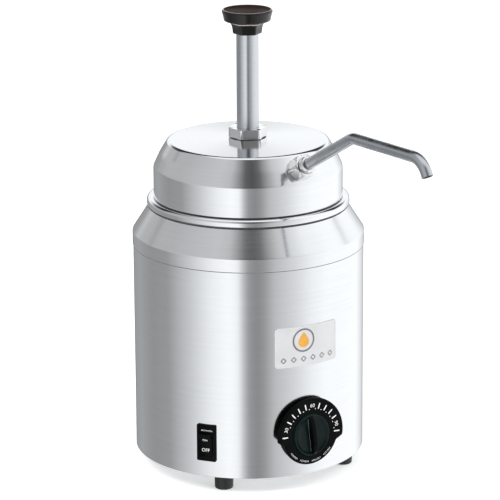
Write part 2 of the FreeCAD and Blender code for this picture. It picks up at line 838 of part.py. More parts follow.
def make_lid():
    """The domed lid: a rolled bead over the jar's flange, a wall, a cone and a slightly crowned top."""
    corner = lid_base + d.lid_wall
    bead_top = lid_base + d.bead_height
    lid = lathe(
        "lid",
        [
            (d.lid_radius - d.sheet, lid_base),
            (d.bead_radius, lid_base, 1.6),
            (d.bead_radius, bead_top, 3),
            (d.lid_radius, bead_top),
            (d.lid_radius, corner, 5),
            (d.lid_top_radius, lid_top, 1.4),
            (d.lid_land_radius, lid_peak),
            (d.neck_radius + 0.2, lid_peak),
            (d.neck_radius + 0.2, lid_peak - d.sheet),
            (d.lid_land_radius, lid_peak - d.sheet),
            (d.lid_top_radius - 0.6, lid_top - d.sheet),
            (d.lid_radius - d.sheet, corner - 0.6, 4),
        ],
    )
    hole = lid.newObject("Sketcher::SketchObject", "outlet_hole_sketch")
    hole.AttachmentSupport = [(origin_plane(lid, "XY_Plane"), "")]
    hole.MapMode = "FlatFace"
    hole.AttachmentOffset = outlet_frame()
    circle(hole, 0, 0, 7.2)
    pocket(lid, hole, 24, both_ways=True)


def outlet_frame():
    """The frame of the outlet: its origin on the lid's cone, its Z along the outlet's axis."""
    spot = Vector(0, -float(d.outlet_radius), float(outlet_height))
    return Placement(spot, Rotation(Vector(1, 0, 0), 90 - float(d.outlet_angle)))


def stand_on_outlet(owner):
    """Stands a body on the outlet's axis."""
    owner.Placement = outlet_frame()
    owner.setExpression("Placement.Base.y", (-d.outlet_radius).formula)
    owner.setExpression("Placement.Base.z", outlet_height.formula)


def make_lock_collar():
    """The hexagonal collar that clamps the lid on the pump and guides the plunger."""
    collar = new_body("lock_collar")
    hex_block(collar, d.collar_flats, lid_peak, collar_top, d.plunger_radius + 0.06, 0.5)
    counterbore = d.neck_radius + 0.06
    low, high = lid_peak - 1, collar_top - 2
    lathe_cut(collar, [(0, low), (counterbore, low), (counterbore, high), (0, high)])
    collar.Placement = Placement(Vector(), Rotation(Vector(0, 0, 1), COLLAR_TURN))


def make_pump_cylinder():
    """The cylinder, its flange under the lid and the neck that goes through it."""
    flange = d.cylinder_radius + 4
    shoulder = cylinder_top - 4
    lathe(
        "pump_cylinder",
        [
            (d.cylinder_bore, cylinder_bottom),
            (d.cylinder_radius, cylinder_bottom),
            (d.cylinder_radius, cylinder_top - 3),
            (flange, cylinder_top - 3),
            (flange, cylinder_top),
            (d.neck_radius, cylinder_top),
            (d.neck_radius, collar_top - 2.3),
            (d.plunger_radius + 1, collar_top - 2.3),
            (d.plunger_radius + 1, shoulder),
            (d.cylinder_bore, shoulder),
        ],
    )
    low, high, inner = cylinder_top, lid_peak - d.sheet, d.neck_radius + 0.1
    lathe("cylinder_washer", [(inner, low), (flange, low), (flange, high), (inner, high)])


def make_valve_body():
    """The block at the foot of the pump, with an inlet ball seat and an outlet ball seat."""
    low = d.valve_bottom
    block = new_body("valve_body")
    plan = new_sketch(block, "XY_Plane", low)
    circle(plan, 0, 0, d.valve_radius)
    pad(block, plan, valve_top - low)
    boss = new_sketch(block, "XY_Plane", low)
    circle(boss, 0, -d.riser_offset, 9.5)
    pad(block, boss, valve_top - low)
    web = new_sketch(block, "XY_Plane", low)
    rectangle(web, 0, -d.riser_offset / 2, 13, d.riser_offset)
    pad(block, web, valve_top - low)
    socket = d.cylinder_radius + 0.05
    lathe_cut(
        block,
        [
            (0, low - 1),
            (4.5, low - 1),
            (4.5, low + 2),
            (9, low + 6),
            (9, valve_ledge),
            (socket, valve_ledge),
            (socket, valve_top + 1),
            (0, valve_top + 1),
        ],
    )
    riser_socket = d.tube_radius + 0.1
    lathe_cut(
        block,
        [
            (0, low + 4),
            (3, low + 4),
            (3, low + 10.5),
            (5.2, low + 13),
            (5.2, low + 21),
            (riser_socket, low + 21),
            (riser_socket, valve_top + 1),
            (0, valve_top + 1),
        ],
        forward=d.riser_offset,
    )
    passage = new_sketch(block, "XZ_Plane")
    circle(passage, 0, low + 8, 3)
    pocket(block, passage, d.riser_offset, outwards=True)


def make_ball(label, radius, forward, height):
    """A loose check ball just clear of its seat."""
    owner = doc.addObject("Part::Sphere", label)
    owner.Label = label
    owner.Radius = radius
    owner.Placement = Placement(Vector(0, -float(forward), float(height)), Rotation())
    owner.setExpression("Placement.Base.y", (-as_size(forward)).formula)
    owner.setExpression("Placement.Base.z", height.formula)
    pieces.append(owner)


def make_ball_retainer():
    """A perforated disc under the cylinder that keeps the inlet ball in its chamber."""
    rim = d.cylinder_radius - 0.05
    corners = [(0, valve_ledge), (rim, valve_ledge), (rim, cylinder_bottom), (0, cylinder_bottom)]
    disc = lathe("ball_retainer", corners)
    ring_of_holes(disc, 0, 6, as_size(5.6), 2.2, cylinder_bottom, 3)


def make_discharge_tube():
    """The riser beside the cylinder, bent over to the outlet in the lid."""
    offset, reach = float(d.riser_offset), float(d.outlet_radius)
    slope = math.tan(math.radians(float(d.outlet_angle)))
    knee = float(outlet_height) - (reach - offset) * slope
    end = outlet_frame().multVec(Vector(0, 0, -2))
    route = [(0, -offset, d.valve_bottom + 21), (0, -offset, knee), (end.x, end.y, end.z)]
    swept_tube("discharge_tube", [route], d.tube_radius, d.tube_bore, bend=[22])
    nut = new_body("riser_nut")
    hex_block(nut, 17, valve_top, valve_top + 8, d.tube_radius + 0.1, 1)
    nut.Placement = Placement(Vector(0, -offset, 0), Rotation())
    nut.setExpression("Placement.Base.y", (-d.riser_offset).formula)


def make_outlet():
    """The fitting through the lid, its gasket inside, and its nut and ferrule outside."""
    bore, barrel, flange = d.tube_radius + 0.1, d.barrel_radius, 10.5
    nut_low = as_size(0.6)
    nut_end = nut_low + d.nut_length
    barrel_end = nut_end - 0.4
    ferrule_end = nut_end + d.ferrule_length
    fitting = lathe(
        "outlet_fitting",
        [(bore, -6), (flange, -6), (flange, -3.2), (barrel, -3.2), (barrel, barrel_end), (bore, barrel_end)],
    )
    inner = barrel + 0.1
    gasket = lathe("fitting_gasket", [(inner, -3.2), (flange, -3.2), (flange, -2.1), (inner, -2.1)])
    nut = new_body("spout_nut")
    hex_block(nut, d.nut_flats, nut_low, nut_end, barrel + 0.05, 1.8)
    ferrule = lathe(
        "spout_ferrule",
        [(bore, nut_end), (barrel + 0.2, nut_end), (barrel - 0.4, ferrule_end, 0.8), (bore, ferrule_end)],
    )
    for owner in (fitting, gasket, nut, ferrule):
        stand_on_outlet(owner)


def make_spout():
    """The bent spout: out along the outlet's axis, nearly level, then down at the tip."""
    slope = math.tan(math.radians(float(d.outlet_angle)))
    rise = (float(d.spout_bend_reach) - float(d.outlet_radius)) * slope
    bend_height = float(outlet_height) + rise
    end_height = bend_height + float(d.spout_level_rise)
    start = outlet_frame().multVec(Vector(0, 0, 2))
    route = [
        start,
        (0, -d.spout_bend_reach, bend_height),
        (0, -d.spout_end_reach, end_height),
        (0, -d.spout_tip_reach, end_height - float(d.spout_tip_drop)),
    ]
    swept_tube("spout", [route], d.tube_radius, d.tube_bore, bend=[16, 19])


# ---------------------------------------------------------------- plunger


def make_plunger():
    """The tube with its end plug and knob stud above, and its stop ring and piston below."""
    low, high = d.piston_bottom + 20, d.tube_top
    wall, bore = d.plunger_radius, d.plunger_bore
    lathe("plunger_tube", [(bore, low), (wall, low), (wall, high), (bore, high)])
    plug = [(0, high - 14), (bore, high - 14), (bore, high), (4, high), (4, high - 10), (0, high - 10)]
    lathe("tube_plug", plug)
    lathe("knob_stud", [(0, high - 10), (4, high - 10), (4, high + 11), (0, high + 11)])
    stop = cylinder_top - 4
    rim = d.cylinder_bore - 0.5
    lathe("stop_ring", [(wall, stop - 3), (rim, stop - 3), (rim, stop), (wall, stop)])


def make_knob():
    """The flared knob with a shallow dish in its top."""
    low, rim = d.tube_top, d.knob_radius
    top = low + d.knob_height
    lathe(
        "plunger_knob",
        [
            (4, low),
            (12.6, low, 0.5),
            (13.1, low + 5, 6),
            (15.4, low + 10.4, 2),
            (rim - 1.8, low + 12.8, 1),
            (rim, low + 19, 0.8),
            (rim - 1.4, top, 0.6),
            (rim - 4, top - 0.6),
            (0, top - 2.4),
            (0, low + 11),
            (4, low + 11),
        ],
    )


def make_piston():
    """The piston on the end of the plunger and the seal in its groove."""
    low = d.piston_bottom
    rim, groove = d.cylinder_bore - 0.8, 10.0
    lathe(
        "piston",
        [
            (0, low),
            (rim, low),
            (rim, low + 6),
            (groove, low + 6),
            (groove, low + 12),
            (rim, low + 12),
            (rim, low + 20),
            (d.plunger_bore, low + 20),
            (d.plunger_bore, low + 32),
            (0, low + 32),
        ],
    )
    edge = d.cylinder_bore - 0.06
    lathe("piston_seal", [(groove, low + 6), (edge, low + 6, 0.8), (edge, low + 12, 0.8), (groove, low + 12)])


def make_return_spring():
    """The compression spring under the piston, and the washer it stands on."""
    seat_ring = [(7, cylinder_bottom), (13.8, cylinder_bottom), (13.8, spring_bottom), (7, spring_bottom)]
    lathe("spring_seat", seat_ring)
    spring = new_body("return_spring")
    wire = new_sketch(spring, "XZ_Plane")
    circle(wire, d.spring_radius, spring_bottom + d.spring_wire, d.spring_wire)
    coil = spring.newObject("PartDesign::AdditiveHelix", "return_spring_coil")
    coil.Profile = wire
    coil.ReferenceAxis = (wire, ["V_Axis"])
    coil.Mode = "height-turns-angle"
    height = d.piston_bottom - spring_bottom - 2 * d.spring_wire
    coil.Height = float(height)
    coil.setExpression("Height", height.formula)
    coil.Turns = float(d.spring_turns)
    coil.setExpression("Turns", d.spring_turns.formula)
    spring.Tip = coil


make_outer_shell()
make_shoulder_ring()
make_base_plate()
make_foot("foot_front_left", FRONT_LEFT)
make_foot("foot_front_right", FRONT_RIGHT)
make_foot("foot_rear_right", REAR_RIGHT)
make_foot("foot_rear_left", REAR_LEFT)
foot_levels = (as_size(4.4), as_size(7), cover_top + 4.4)
make_screws("foot_screws", FRONT_RIGHT, 4, d.foot_circle, 4.0, 2.0, foot_levels)
make_foot_nuts()
cover_levels = (cover_bottom - 3, cover_bottom, cover_top + 7)
make_screws("base_screws", COVER_SCREW_TURN, 4, d.cover_screw_circle, 2.6, 1.7, cover_levels)
make_base_brackets()
make_heating_well()
make_insulation()
make_heating_element()
make_element_clamp()
make_thermal_cutoff()
make_thermostat()
make_bulb()
make_dial()
make_switch()
make_cord_inlet()
make_wiring()
make_nameplate()
make_food_jar()
housing_pieces = len(pieces)
make_lid()
make_lock_collar()
make_pump_cylinder()
make_valve_body()
make_ball("inlet_ball", 6.0, 0, d.valve_bottom + 6.5)
make_ball("outlet_ball", 4.0, d.riser_offset, d.valve_bottom + 13.7)
make_ball_retainer()
make_discharge_tube()
make_outlet()
make_spout()
lid_group = doc.addObject("App::Part", "lid_and_pump")
lid_group.addObjects(pieces[housing_pieces:])
lid_group.Placement = Placement(Vector(), Rotation(Vector(0, 0, 1), LID_TURN))
make_plunger()
make_knob()
make_piston()
make_return_spring()

doc.recompute()
for item in doc.Objects:
    if {"Invalid", "Error"} & set(item.State):
        raise RuntimeError(f"{item.Label} failed: {item.State}")
os.makedirs("parts", exist_ok=True)
for piece in pieces:
    if piece.Shape.isNull() or not piece.Shape.isValid():
        raise RuntimeError(f"{piece.Label} has no valid shape")
    solids = len(piece.Shape.Solids)
    print(f"{piece.Label}: {solids} solid(s), {piece.Shape.Volume:.1f} mm3")
    shape = piece.Shape.copy()
    shape.Placement = piece.getGlobalPlacement()
    shape.exportStep(f"parts/{piece.Label}.step")
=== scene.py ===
"""The looks of a countertop cheese dispenser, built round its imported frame. Shapes are in millimetres."""
import json
import math

import bpy
from mathutils import Matrix, Vector


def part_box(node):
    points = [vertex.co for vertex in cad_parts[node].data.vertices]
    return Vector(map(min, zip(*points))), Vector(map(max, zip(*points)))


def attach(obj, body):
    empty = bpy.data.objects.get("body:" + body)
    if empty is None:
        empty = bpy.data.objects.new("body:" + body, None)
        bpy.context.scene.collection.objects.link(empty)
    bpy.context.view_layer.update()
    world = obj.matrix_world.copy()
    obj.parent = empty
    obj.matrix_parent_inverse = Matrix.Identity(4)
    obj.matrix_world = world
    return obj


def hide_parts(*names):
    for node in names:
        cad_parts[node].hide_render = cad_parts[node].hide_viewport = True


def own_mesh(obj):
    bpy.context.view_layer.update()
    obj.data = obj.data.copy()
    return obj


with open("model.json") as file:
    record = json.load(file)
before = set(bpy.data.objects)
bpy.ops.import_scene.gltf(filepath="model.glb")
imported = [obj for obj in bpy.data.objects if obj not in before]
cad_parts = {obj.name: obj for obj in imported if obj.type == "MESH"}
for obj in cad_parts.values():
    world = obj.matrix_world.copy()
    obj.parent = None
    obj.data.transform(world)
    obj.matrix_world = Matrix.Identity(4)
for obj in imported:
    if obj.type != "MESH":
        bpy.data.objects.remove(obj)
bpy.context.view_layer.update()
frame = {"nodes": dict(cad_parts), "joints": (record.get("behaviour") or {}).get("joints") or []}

MM = 0.001
SEGMENTS = 192
EDGE = 0.15
LETTER = 0.06
OUTLET_ANGLE = 29.1
LID_TURN = 4.0
COLLAR_TURN = -21.0

# ---------------------------------------------------------------- sizes from the frame


def corners_of(node):
    """The lowest and highest corner of a node at rest, in millimetres."""
    low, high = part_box(node)
    return low / MM, high / MM


def joint(name):
    """One of the record's joints."""
    return next(entry for entry in frame["joints"] if entry["name"] == name)


shell_low, shell_high = corners_of("outer_shell")
shell_radius = shell_high.x
ring_low, ring_high = corners_of("shoulder_ring")
lid_low, lid_high = corners_of("lid")
collar_low, collar_high = corners_of("lock_collar")
tube_low, tube_high = corners_of("plunger_tube")
knob_low, knob_high = corners_of("plunger_knob")

# ---------------------------------------------------------------- materials


class Nodes:
    """A new material's node tree, with short ways to add nodes and to link them."""

    def __init__(self, name):
        self.material = bpy.data.materials.new(name)
        self.material.use_nodes = True
        self.tree = self.material.node_tree
        self.tree.nodes.clear()
        self.shader = self.add("ShaderNodeBsdfPrincipled")
        output = self.add("ShaderNodeOutputMaterial")
        self.link(self.shader.outputs["BSDF"], output.inputs["Surface"])
        self.place = self.add("ShaderNodeTexCoord").outputs["Object"]

    def add(self, kind, **settings):
        """A node of this kind with its settings."""
        node = self.tree.nodes.new(kind)
        for key, value in settings.items():
            setattr(node, key, value)
        return node

    def link(self, source, target):
        """Links two sockets."""
        self.tree.links.new(source, target)

    def feed(self, socket, value):
        """Gives a socket a number or another socket's value."""
        if isinstance(value, bpy.types.NodeSocket):
            self.link(value, socket)
        else:
            socket.default_value = value

    def paint(self, **settings):
        """Gives the shader's own sockets numbers, or links them; an underscore stands for a space."""
        for key, value in settings.items():
            self.feed(self.shader.inputs[key.replace("_", " ")], value)

    def math(self, operation, first, second=0.0):
        """The result of a Math node."""
        node = self.add("ShaderNodeMath", operation=operation)
        self.feed(node.inputs[0], first)
        self.feed(node.inputs[1], second)
        return node.outputs[0]

    def noise(self, vector, scale, detail=2.0):
        """A noise value from 0 to 1."""
        node = self.add("ShaderNodeTexNoise")
        self.link(vector, node.inputs["Vector"])
        node.inputs["Scale"].default_value = scale
        node.inputs["Detail"].default_value = detail
        return node.outputs["Fac"]

    def spread(self, value, low, high):
        """Spreads the middle of a noise over low to high."""
        node = self.add("ShaderNodeMapRange")
        self.link(value, node.inputs["Value"])
        for key, number in (("From Min", 0.3), ("From Max", 0.7), ("To Min", low), ("To Max", high)):
            node.inputs[key].default_value = number
        return node.outputs["Result"]

    def ramp(self, value, stops):
        """A colour ramp with (place, colour) stops."""
        node = self.add("ShaderNodeValToRGB")
        fill_ramp(node.color_ramp, stops)
        self.link(value, node.inputs["Fac"])
        return node.outputs["Color"]

    def bump(self, height, strength, depth):
        """Feeds the shader's normal from a height, depth in millimetres."""
        node = self.add("ShaderNodeBump")
        node.inputs["Strength"].default_value = strength
        node.inputs["Distance"].default_value = depth * MM
        self.link(height, node.inputs["Height"])
        self.link(node.outputs["Normal"], self.shader.inputs["Normal"])

    def round_the_axis(self, turn_scale, line_scale):
        """Coordinates that run round the upright axis and along the outline of a turned part."""
        split = self.add("ShaderNodeSeparateXYZ")
        self.link(self.place, split.inputs[0])
        across, along, up = split.outputs
        angle = self.math("ARCTAN2", along, across)
        squares = [self.math("MULTIPLY", side, side) for side in (across, along)]
        radius = self.math("SQRT", self.math("ADD", *squares))
        join = self.add("ShaderNodeCombineXYZ")
        self.link(self.math("MULTIPLY", angle, turn_scale), join.inputs[0])
        self.link(self.math("MULTIPLY", self.math("SUBTRACT", up, radius), line_scale), join.inputs[1])
        return join.outputs[0]


def fill_ramp(ramp, stops):
    """Gives a colour ramp its stops, each (place, grey) or (place, colour)."""
    elements = ramp.elements
    while len(elements) > 1:
        elements.remove(elements[-1])
    for index, (position, shade) in enumerate(stops):
        element = elements[0] if index == 0 else elements.new(position)
        element.position = position
        colour = shade if isinstance(shade, tuple) else (shade, shade, shade)
        element.color = (*colour, 1.0)


def turned_steel(name, colour, roughness, grain, anisotropic=0.55):
    """Stainless sheet brushed round the upright axis: hair lines, streaks and cloudy patches."""
    nodes = Nodes(name)
    lines = nodes.noise(nodes.round_the_axis(3.0, 3200.0), 1.0, 3.0)
    streaks = nodes.noise(nodes.round_the_axis(1.2, 420.0), 1.0, 4.0)
    clouds = nodes.noise(nodes.place, 22.0, 3.0)
    mixed = nodes.math("ADD", nodes.math("MULTIPLY", lines, 0.4), nodes.math("MULTIPLY", streaks, 0.35))
    mixed = nodes.math("ADD", mixed, nodes.math("MULTIPLY", clouds, 0.25))
    dull = tuple(channel * (1 - grain) for channel in colour)
    nodes.paint(Base_Color=nodes.ramp(mixed, [(0.38, dull), (0.62, colour)]))
    nodes.paint(Roughness=nodes.spread(mixed, roughness * 0.8, roughness * 1.25))
    nodes.paint(Metallic=1.0, Anisotropic=anisotropic, Anisotropic_Rotation=0.25)
    tangent = nodes.add("ShaderNodeTangent", direction_type="RADIAL", axis="Z")
    nodes.paint(Tangent=tangent.outputs["Tangent"])
    nodes.bump(mixed, 0.035, 0.03)
    return nodes.material


def plain_metal(name, colour, roughness, grain=0.1, size=260.0, bump=0.1):
    """Worked metal with no set direction: fine pitting, handling marks and small changes of tone."""
    nodes = Nodes(name)
    fine = nodes.noise(nodes.place, size * 9, 3.0)
    broad = nodes.noise(nodes.place, size * 0.35, 4.0)
    mixed = nodes.math("ADD", nodes.math("MULTIPLY", fine, 0.45), nodes.math("MULTIPLY", broad, 0.55))
    dull = tuple(channel * (1 - grain) for channel in colour)
    nodes.paint(Base_Color=nodes.ramp(mixed, [(0.4, dull), (0.6, colour)]))
    nodes.paint(Roughness=nodes.spread(broad, roughness * 0.7, roughness * 1.35), Metallic=1.0)
    nodes.bump(mixed, bump, 0.04)
    return nodes.material


def moulded(name, colour, roughness, fleck=0.25, bump=0.15, shine=0.5):
    """Moulded plastic or rubber: a fine skin texture, slow tone changes and slightly uneven gloss."""
    nodes = Nodes(name)
    skin = nodes.noise(nodes.place, 900.0, 3.0)
    slow = nodes.noise(nodes.place, 60.0, 2.0)
    light = tuple(min(1.0, channel * (1 + fleck) + 0.003) for channel in colour)
    dark = tuple(channel * (1 - fleck) for channel in colour)
    mixed = nodes.math("ADD", nodes.math("MULTIPLY", skin, 0.35), nodes.math("MULTIPLY", slow, 0.65))
    nodes.paint(Base_Color=nodes.ramp(mixed, [(0.35, dark), (0.65, light)]))
    nodes.paint(Roughness=nodes.spread(slow, roughness * 0.8, roughness * 1.2), Specular_IOR_Level=shine)
    nodes.bump(skin, bump, 0.05)
    return nodes.material


def woven(name, colour, pitch):
    """Braided or felted fibre: crossed ribs, loose fuzz and soft sheen."""
    nodes = Nodes(name)
    ribs = nodes.add("ShaderNodeTexWave", wave_type="BANDS", bands_direction="DIAGONAL")
    nodes.link(nodes.place, ribs.inputs["Vector"])
    ribs.inputs["Scale"].default_value = 1.0 / (pitch * MM) / 6
    ribs.inputs["Distortion"].default_value = 3.0
    fuzz = nodes.noise(nodes.place, 1500.0, 4.0)
    halves = [nodes.math("MULTIPLY", value, 0.5) for value in (ribs.outputs["Fac"], fuzz)]
    mixed = nodes.math("ADD", *halves)
    dark = tuple(channel * 0.6 for channel in colour)
    nodes.paint(Base_Color=nodes.ramp(mixed, [(0.25, dark), (0.7, colour)]))
    nodes.paint(Roughness=0.85, Sheen_Weight=0.25)
    nodes.bump(mixed, 0.5, 0.3)
    return nodes.material


STEEL = (0.80, 0.81, 0.82)


def look(kind, *values, **options):
    """A recipe for a material, still without its name."""
    return lambda name: kind(name, *values, **options)


LOOKS = {
    "brushed_stainless": look(turned_steel, STEEL, 0.15, 0.05),
    "polished_stainless": look(plain_metal, (0.80, 0.80, 0.80), 0.10, 0.06, bump=0.04),
    # painted highlight: pale grey for strips that stand in for light caught on the edges of the dial's finger
    # bar
    "painted_highlight_grey": look(moulded, (0.22, 0.23, 0.23), 0.3, bump=0.02),
    "spring_steel": look(plain_metal, (0.55, 0.55, 0.56), 0.28, 0.2),
    "zinc_screw": look(plain_metal, (0.62, 0.63, 0.64), 0.3, 0.2),
    "foot_rubber": look(moulded, (0.012, 0.014, 0.013), 0.55, bump=0.3),
    "seal_rubber": look(moulded, (0.05, 0.05, 0.05), 0.6, bump=0.3),
    "insulation": look(woven, (0.78, 0.74, 0.62), 6.0),
    "element_sheath": look(plain_metal, (0.30, 0.27, 0.25), 0.42, 0.35, bump=0.25),
    "black_control": look(moulded, (0.0008, 0.0014, 0.0014), 0.22, bump=0.05, shine=0.05),
    "black_knob": look(moulded, (0.0040, 0.0034, 0.0030), 0.10, bump=0.02, shine=0.4),
    "nylon": look(moulded, (0.015, 0.015, 0.016), 0.42, bump=0.12),
    "copper": look(plain_metal, (0.72, 0.38, 0.24), 0.3, 0.25),
    "ceramic": look(moulded, (0.78, 0.74, 0.66), 0.5, fleck=0.08, bump=0.2),
    "wire_sleeve": look(woven, (0.75, 0.73, 0.68), 1.2),
    "plate_print": look(moulded, (0.64, 0.64, 0.645), 0.42, fleck=0.04, bump=0.05),
    "pump_plastic": look(moulded, (0.80, 0.80, 0.77), 0.4, fleck=0.05, bump=0.08),
    "white_print": look(moulded, (0.86, 0.86, 0.85), 0.5, fleck=0.04, bump=0.05),
    "collar_stainless": look(plain_metal, (0.86, 0.86, 0.86), 0.08, 0.05, bump=0.03),
    "hub_black": look(moulded, (0.0018, 0.0085, 0.0080), 0.25, bump=0.05, shine=0.14),
    "knob_dish": look(moulded, (0.0230, 0.0130, 0.0105), 0.5, bump=0.08, shine=0.02),
    # painted highlight: a pale pinkish colour for strips that stand in for light caught on the knob's rim and
    # neck
    "knob_painted_highlight": look(moulded, (0.52, 0.45, 0.42), 0.3, bump=0.05),
    "lid_stainless": look(turned_steel, STEEL, 0.10, 0.05, 0.35),
    "tube_stainless": look(turned_steel, (0.60, 0.62, 0.65), 0.22, 0.08, 0.3),
    "spout_stainless": look(plain_metal, (0.55, 0.57, 0.60), 0.24, 0.1, bump=0.05),
    # grey for the printed marks on the nameplate, and also the painted shade of the ring under the shoulder's
    # skirt
    "grey_print_and_shade": look(moulded, (0.16, 0.16, 0.17), 0.5, fleck=0.1, bump=0.05),
    "amber_print": look(moulded, (0.75, 0.36, 0.05), 0.45, fleck=0.08, bump=0.05),
}
MATERIALS = {name: recipe(name) for name, recipe in LOOKS.items()}

for node_name, node in frame["nodes"].items():
    for place_in_mesh, slot in enumerate(node.data.materials):
        node.data.materials[place_in_mesh] = MATERIALS[slot.name.split(".")[0]]
frame["nodes"]["spout"].data.materials[0] = MATERIALS["spout_stainless"]

# ---------------------------------------------------------------- building meshes


def add_piece(name, shape, body, slot, replaces=(), material=None, place=None, bend=35):
    """Makes a piece that rides on a body from (points, faces, normals or None)."""
    points, faces, normals = shape
    place = place or Matrix()
    mesh = bpy.data.meshes.new(name)
    mesh.from_pydata([(place @ Vector(point)) * MM for point in points], [], faces)
    mesh.materials.append(MATERIALS[material or slot])
    mesh.validate()
    mesh.shade_smooth()
    if normals:
        turn = place.to_3x3()
        mesh.normals_split_custom_set_from_vertices([turn @ Vector(normal) for normal in normals])
    else:
        mesh.set_sharp_from_angle(angle=math.radians(bend))
    piece = bpy.data.objects.new(name, mesh)
    bpy.context.scene.collection.objects.link(piece)
    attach(piece, body)
    if replaces:
        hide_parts(*replaces)
    return piece


def rounded_outline(corners, steps=5, open_ends=False):
    """Points and outward directions from corners (across, up, rounding), outside on the right."""
    result = []
    count = len(corners)
    for index, corner in enumerate(corners):
        here = Vector(corner[:2])
        rounding = corner[2] if len(corner) > 2 else EDGE
        before = Vector(corners[index - 1][:2])
        after = Vector(corners[(index + 1) % count][:2])
        enter, leave = (here - before).normalized(), (after - here).normalized()
        if open_ends and index == 0:
            result.append((here, Vector((leave.y, -leave.x))))
            continue
        if open_ends and index == count - 1:
            result.append((here, Vector((enter.y, -enter.x))))
            continue
        turn = math.atan2(enter.x * leave.y - enter.y * leave.x, enter.dot(leave))
        side = math.copysign(1.0, turn)
        start = here - enter * rounding * math.tan(abs(turn) / 2)
        centre = start - side * rounding * Vector((enter.y, -enter.x))
        for step in range(steps + 1):
            angle = turn * step / steps
            heading = Matrix.Rotation(angle, 2) @ enter
            normal = Vector((heading.y, -heading.x))
            result.append((centre + side * rounding * normal, normal))
    return result


def turned(corners, steps=5, open_ends=False, segments=SEGMENTS):
    """A turned shape about Z; open_ends is for an outline that starts and ends on the axis."""
    outline = rounded_outline(corners, steps, open_ends)
    points, normals, rings = [], [], []
    for spot, normal in outline:
        if spot.x < 1e-6:
            rings.append([len(points)])
            points.append((0.0, 0.0, spot.y))
            normals.append((0.0, 0.0, math.copysign(1.0, normal.y)))
            continue
        rings.append(list(range(len(points), len(points) + segments)))
        for segment in range(segments):
            angle = math.tau * segment / segments
            cosine, sine = math.cos(angle), math.sin(angle)
            points.append((spot.x * cosine, spot.x * sine, spot.y))
            normals.append((normal.x * cosine, normal.x * sine, normal.y))
    return points, join_rings(rings, closed=not open_ends), normals


def join_rings(rings, closed=False):
    """Faces between rings of the same size, or between a ring and a single point."""
    faces = []
    pairs = list(zip(rings, rings[1:])) + ([(rings[-1], rings[0])] if closed else [])
    for lower, upper in pairs:
        count = max(len(lower), len(upper))
        for index in range(count):
            following = (index + 1) % count
            if len(lower) == 1:
                faces.append((lower[0], upper[following], upper[index]))
            elif len(upper) == 1:
                faces.append((lower[index], lower[following], upper[0]))
            else:
                faces.append((lower[index], lower[following], upper[following], upper[index]))
    return faces


def stacked(sections, closed=False):
    """A shape from loops of points with the same count; a loop of one point closes an end."""
    points, rings = [], []
    for section in sections:
        rings.append(list(range(len(points), len(points) + len(section))))
        points.extend(section)
    return points, join_rings(rings, closed), None


def angles_round(count):
    """Angles that divide a full turn evenly."""
    return [math.tau * index / count for index in range(count)]


def polar(radius, angle, level):
    """A point at a radius and an angle round Z."""
    return (radius * math.cos(angle), radius * math.sin(angle), level)


def cap(shape, first, count, forward=True):
    """Closes a shape with one face over a run of its points."""
    run = range(first, first + count)
    shape[1].append(tuple(run if forward else reversed(run)))


def hexagon_reach(angle, flats, corner_limit):
    """How far a hexagon reaches at an angle from the middle of a flat, its corners turned down to a limit."""
    step = math.radians(60)
    off_middle = (angle + step / 2) % step - step / 2
    return min(flats / 2 / math.cos(off_middle), corner_limit)


def hexagonal(flats, low, high, bore, chamfer, bottom_chamfer=EDGE, turn=0.0, segments=96):
    """A hexagonal nut about Z with turned-down corners; a flat faces -Y before the turn."""
    corner = flats / math.sqrt(3)
    softened = corner - 0.25
    drop = 0.58
    levels = [
        (low, corner - bottom_chamfer),
        (low + bottom_chamfer * drop, softened),
        (high - chamfer * drop, softened),
        (high - chamfer * drop * 0.45, corner - chamfer * 0.5),
        (high, corner - chamfer - 0.1),
    ]
    angles = angles_round(segments)
    start = math.radians(turn) - math.pi / 2
    sections = [[polar(bore, angle + start, low) for angle in angles]]
    for level, limit in levels:
        sections.append([polar(hexagon_reach(angle, flats, limit), angle + start, level) for angle in angles])
    for radius, level in ((bore + 0.35, high), (bore, high - 0.35)):
        sections.append([polar(radius, angle + start, level) for angle in angles])
    return stacked(sections, closed=True)


def standing(azimuth, height):
    """A frame on the housing's axis whose X runs to the right, Y up and Z out through the shell."""
    turn = math.radians(azimuth)
    out = Vector((math.sin(turn), -math.cos(turn), 0))
    right = Vector((math.cos(turn), math.sin(turn), 0))
    rows = [(right[i], (0, 0, 1)[i], out[i], (0, 0, height)[i]) for i in range(3)]
    return Matrix([*rows, (0, 0, 0, 1)])


def lettering(text, size, place):
    """Raised letters centred on the origin of a frame, as a shape."""
    curve = bpy.data.curves.new("letters", "FONT")
    curve.body = text
    curve.size = size
    curve.extrude = LETTER / 2
    curve.align_x, curve.align_y = "CENTER", "CENTER"
    holder = bpy.data.objects.new("letters", curve)
    mesh = bpy.data.meshes.new_from_object(holder)
    points = [place @ vertex.co for vertex in mesh.vertices]
    faces = [tuple(face.vertices) for face in mesh.polygons]
    bpy.data.objects.remove(holder)
    bpy.data.curves.remove(curve)
    bpy.data.meshes.remove(mesh)
    return points, faces, None


def merged(shapes):
    """Several shapes as one."""
    points, faces = [], []
    for shape_points, shape_faces, _ in shapes:
        start = len(points)
        points.extend(shape_points)
        faces.extend(tuple(start + index for index in face) for face in shape_faces)
    return points, faces, None


def rounded_rectangle(wide, tall, soft, level, count=12, sides=0):
    """A loop of a rectangle with rounded corners; sides adds points along its top and bottom."""
    result = []
    for quarter, (x, y) in enumerate(((1, 1), (-1, 1), (-1, -1), (1, -1))):
        for step in range(count + 1):
            angle = math.pi / 2 * (quarter + step / count)
            spot_x = x * (wide / 2 - soft) + soft * math.cos(angle)
            spot_y = y * (tall / 2 - soft) + soft * math.sin(angle)
            result.append((spot_x, spot_y, level))
        if sides and quarter in (0, 2):
            edge = wide / 2 - soft
            steps = [x * edge * (1 - 2 * step / (sides + 1)) for step in range(1, sides + 1)]
            result += [(step, y * tall / 2, level) for step in steps]
    return result


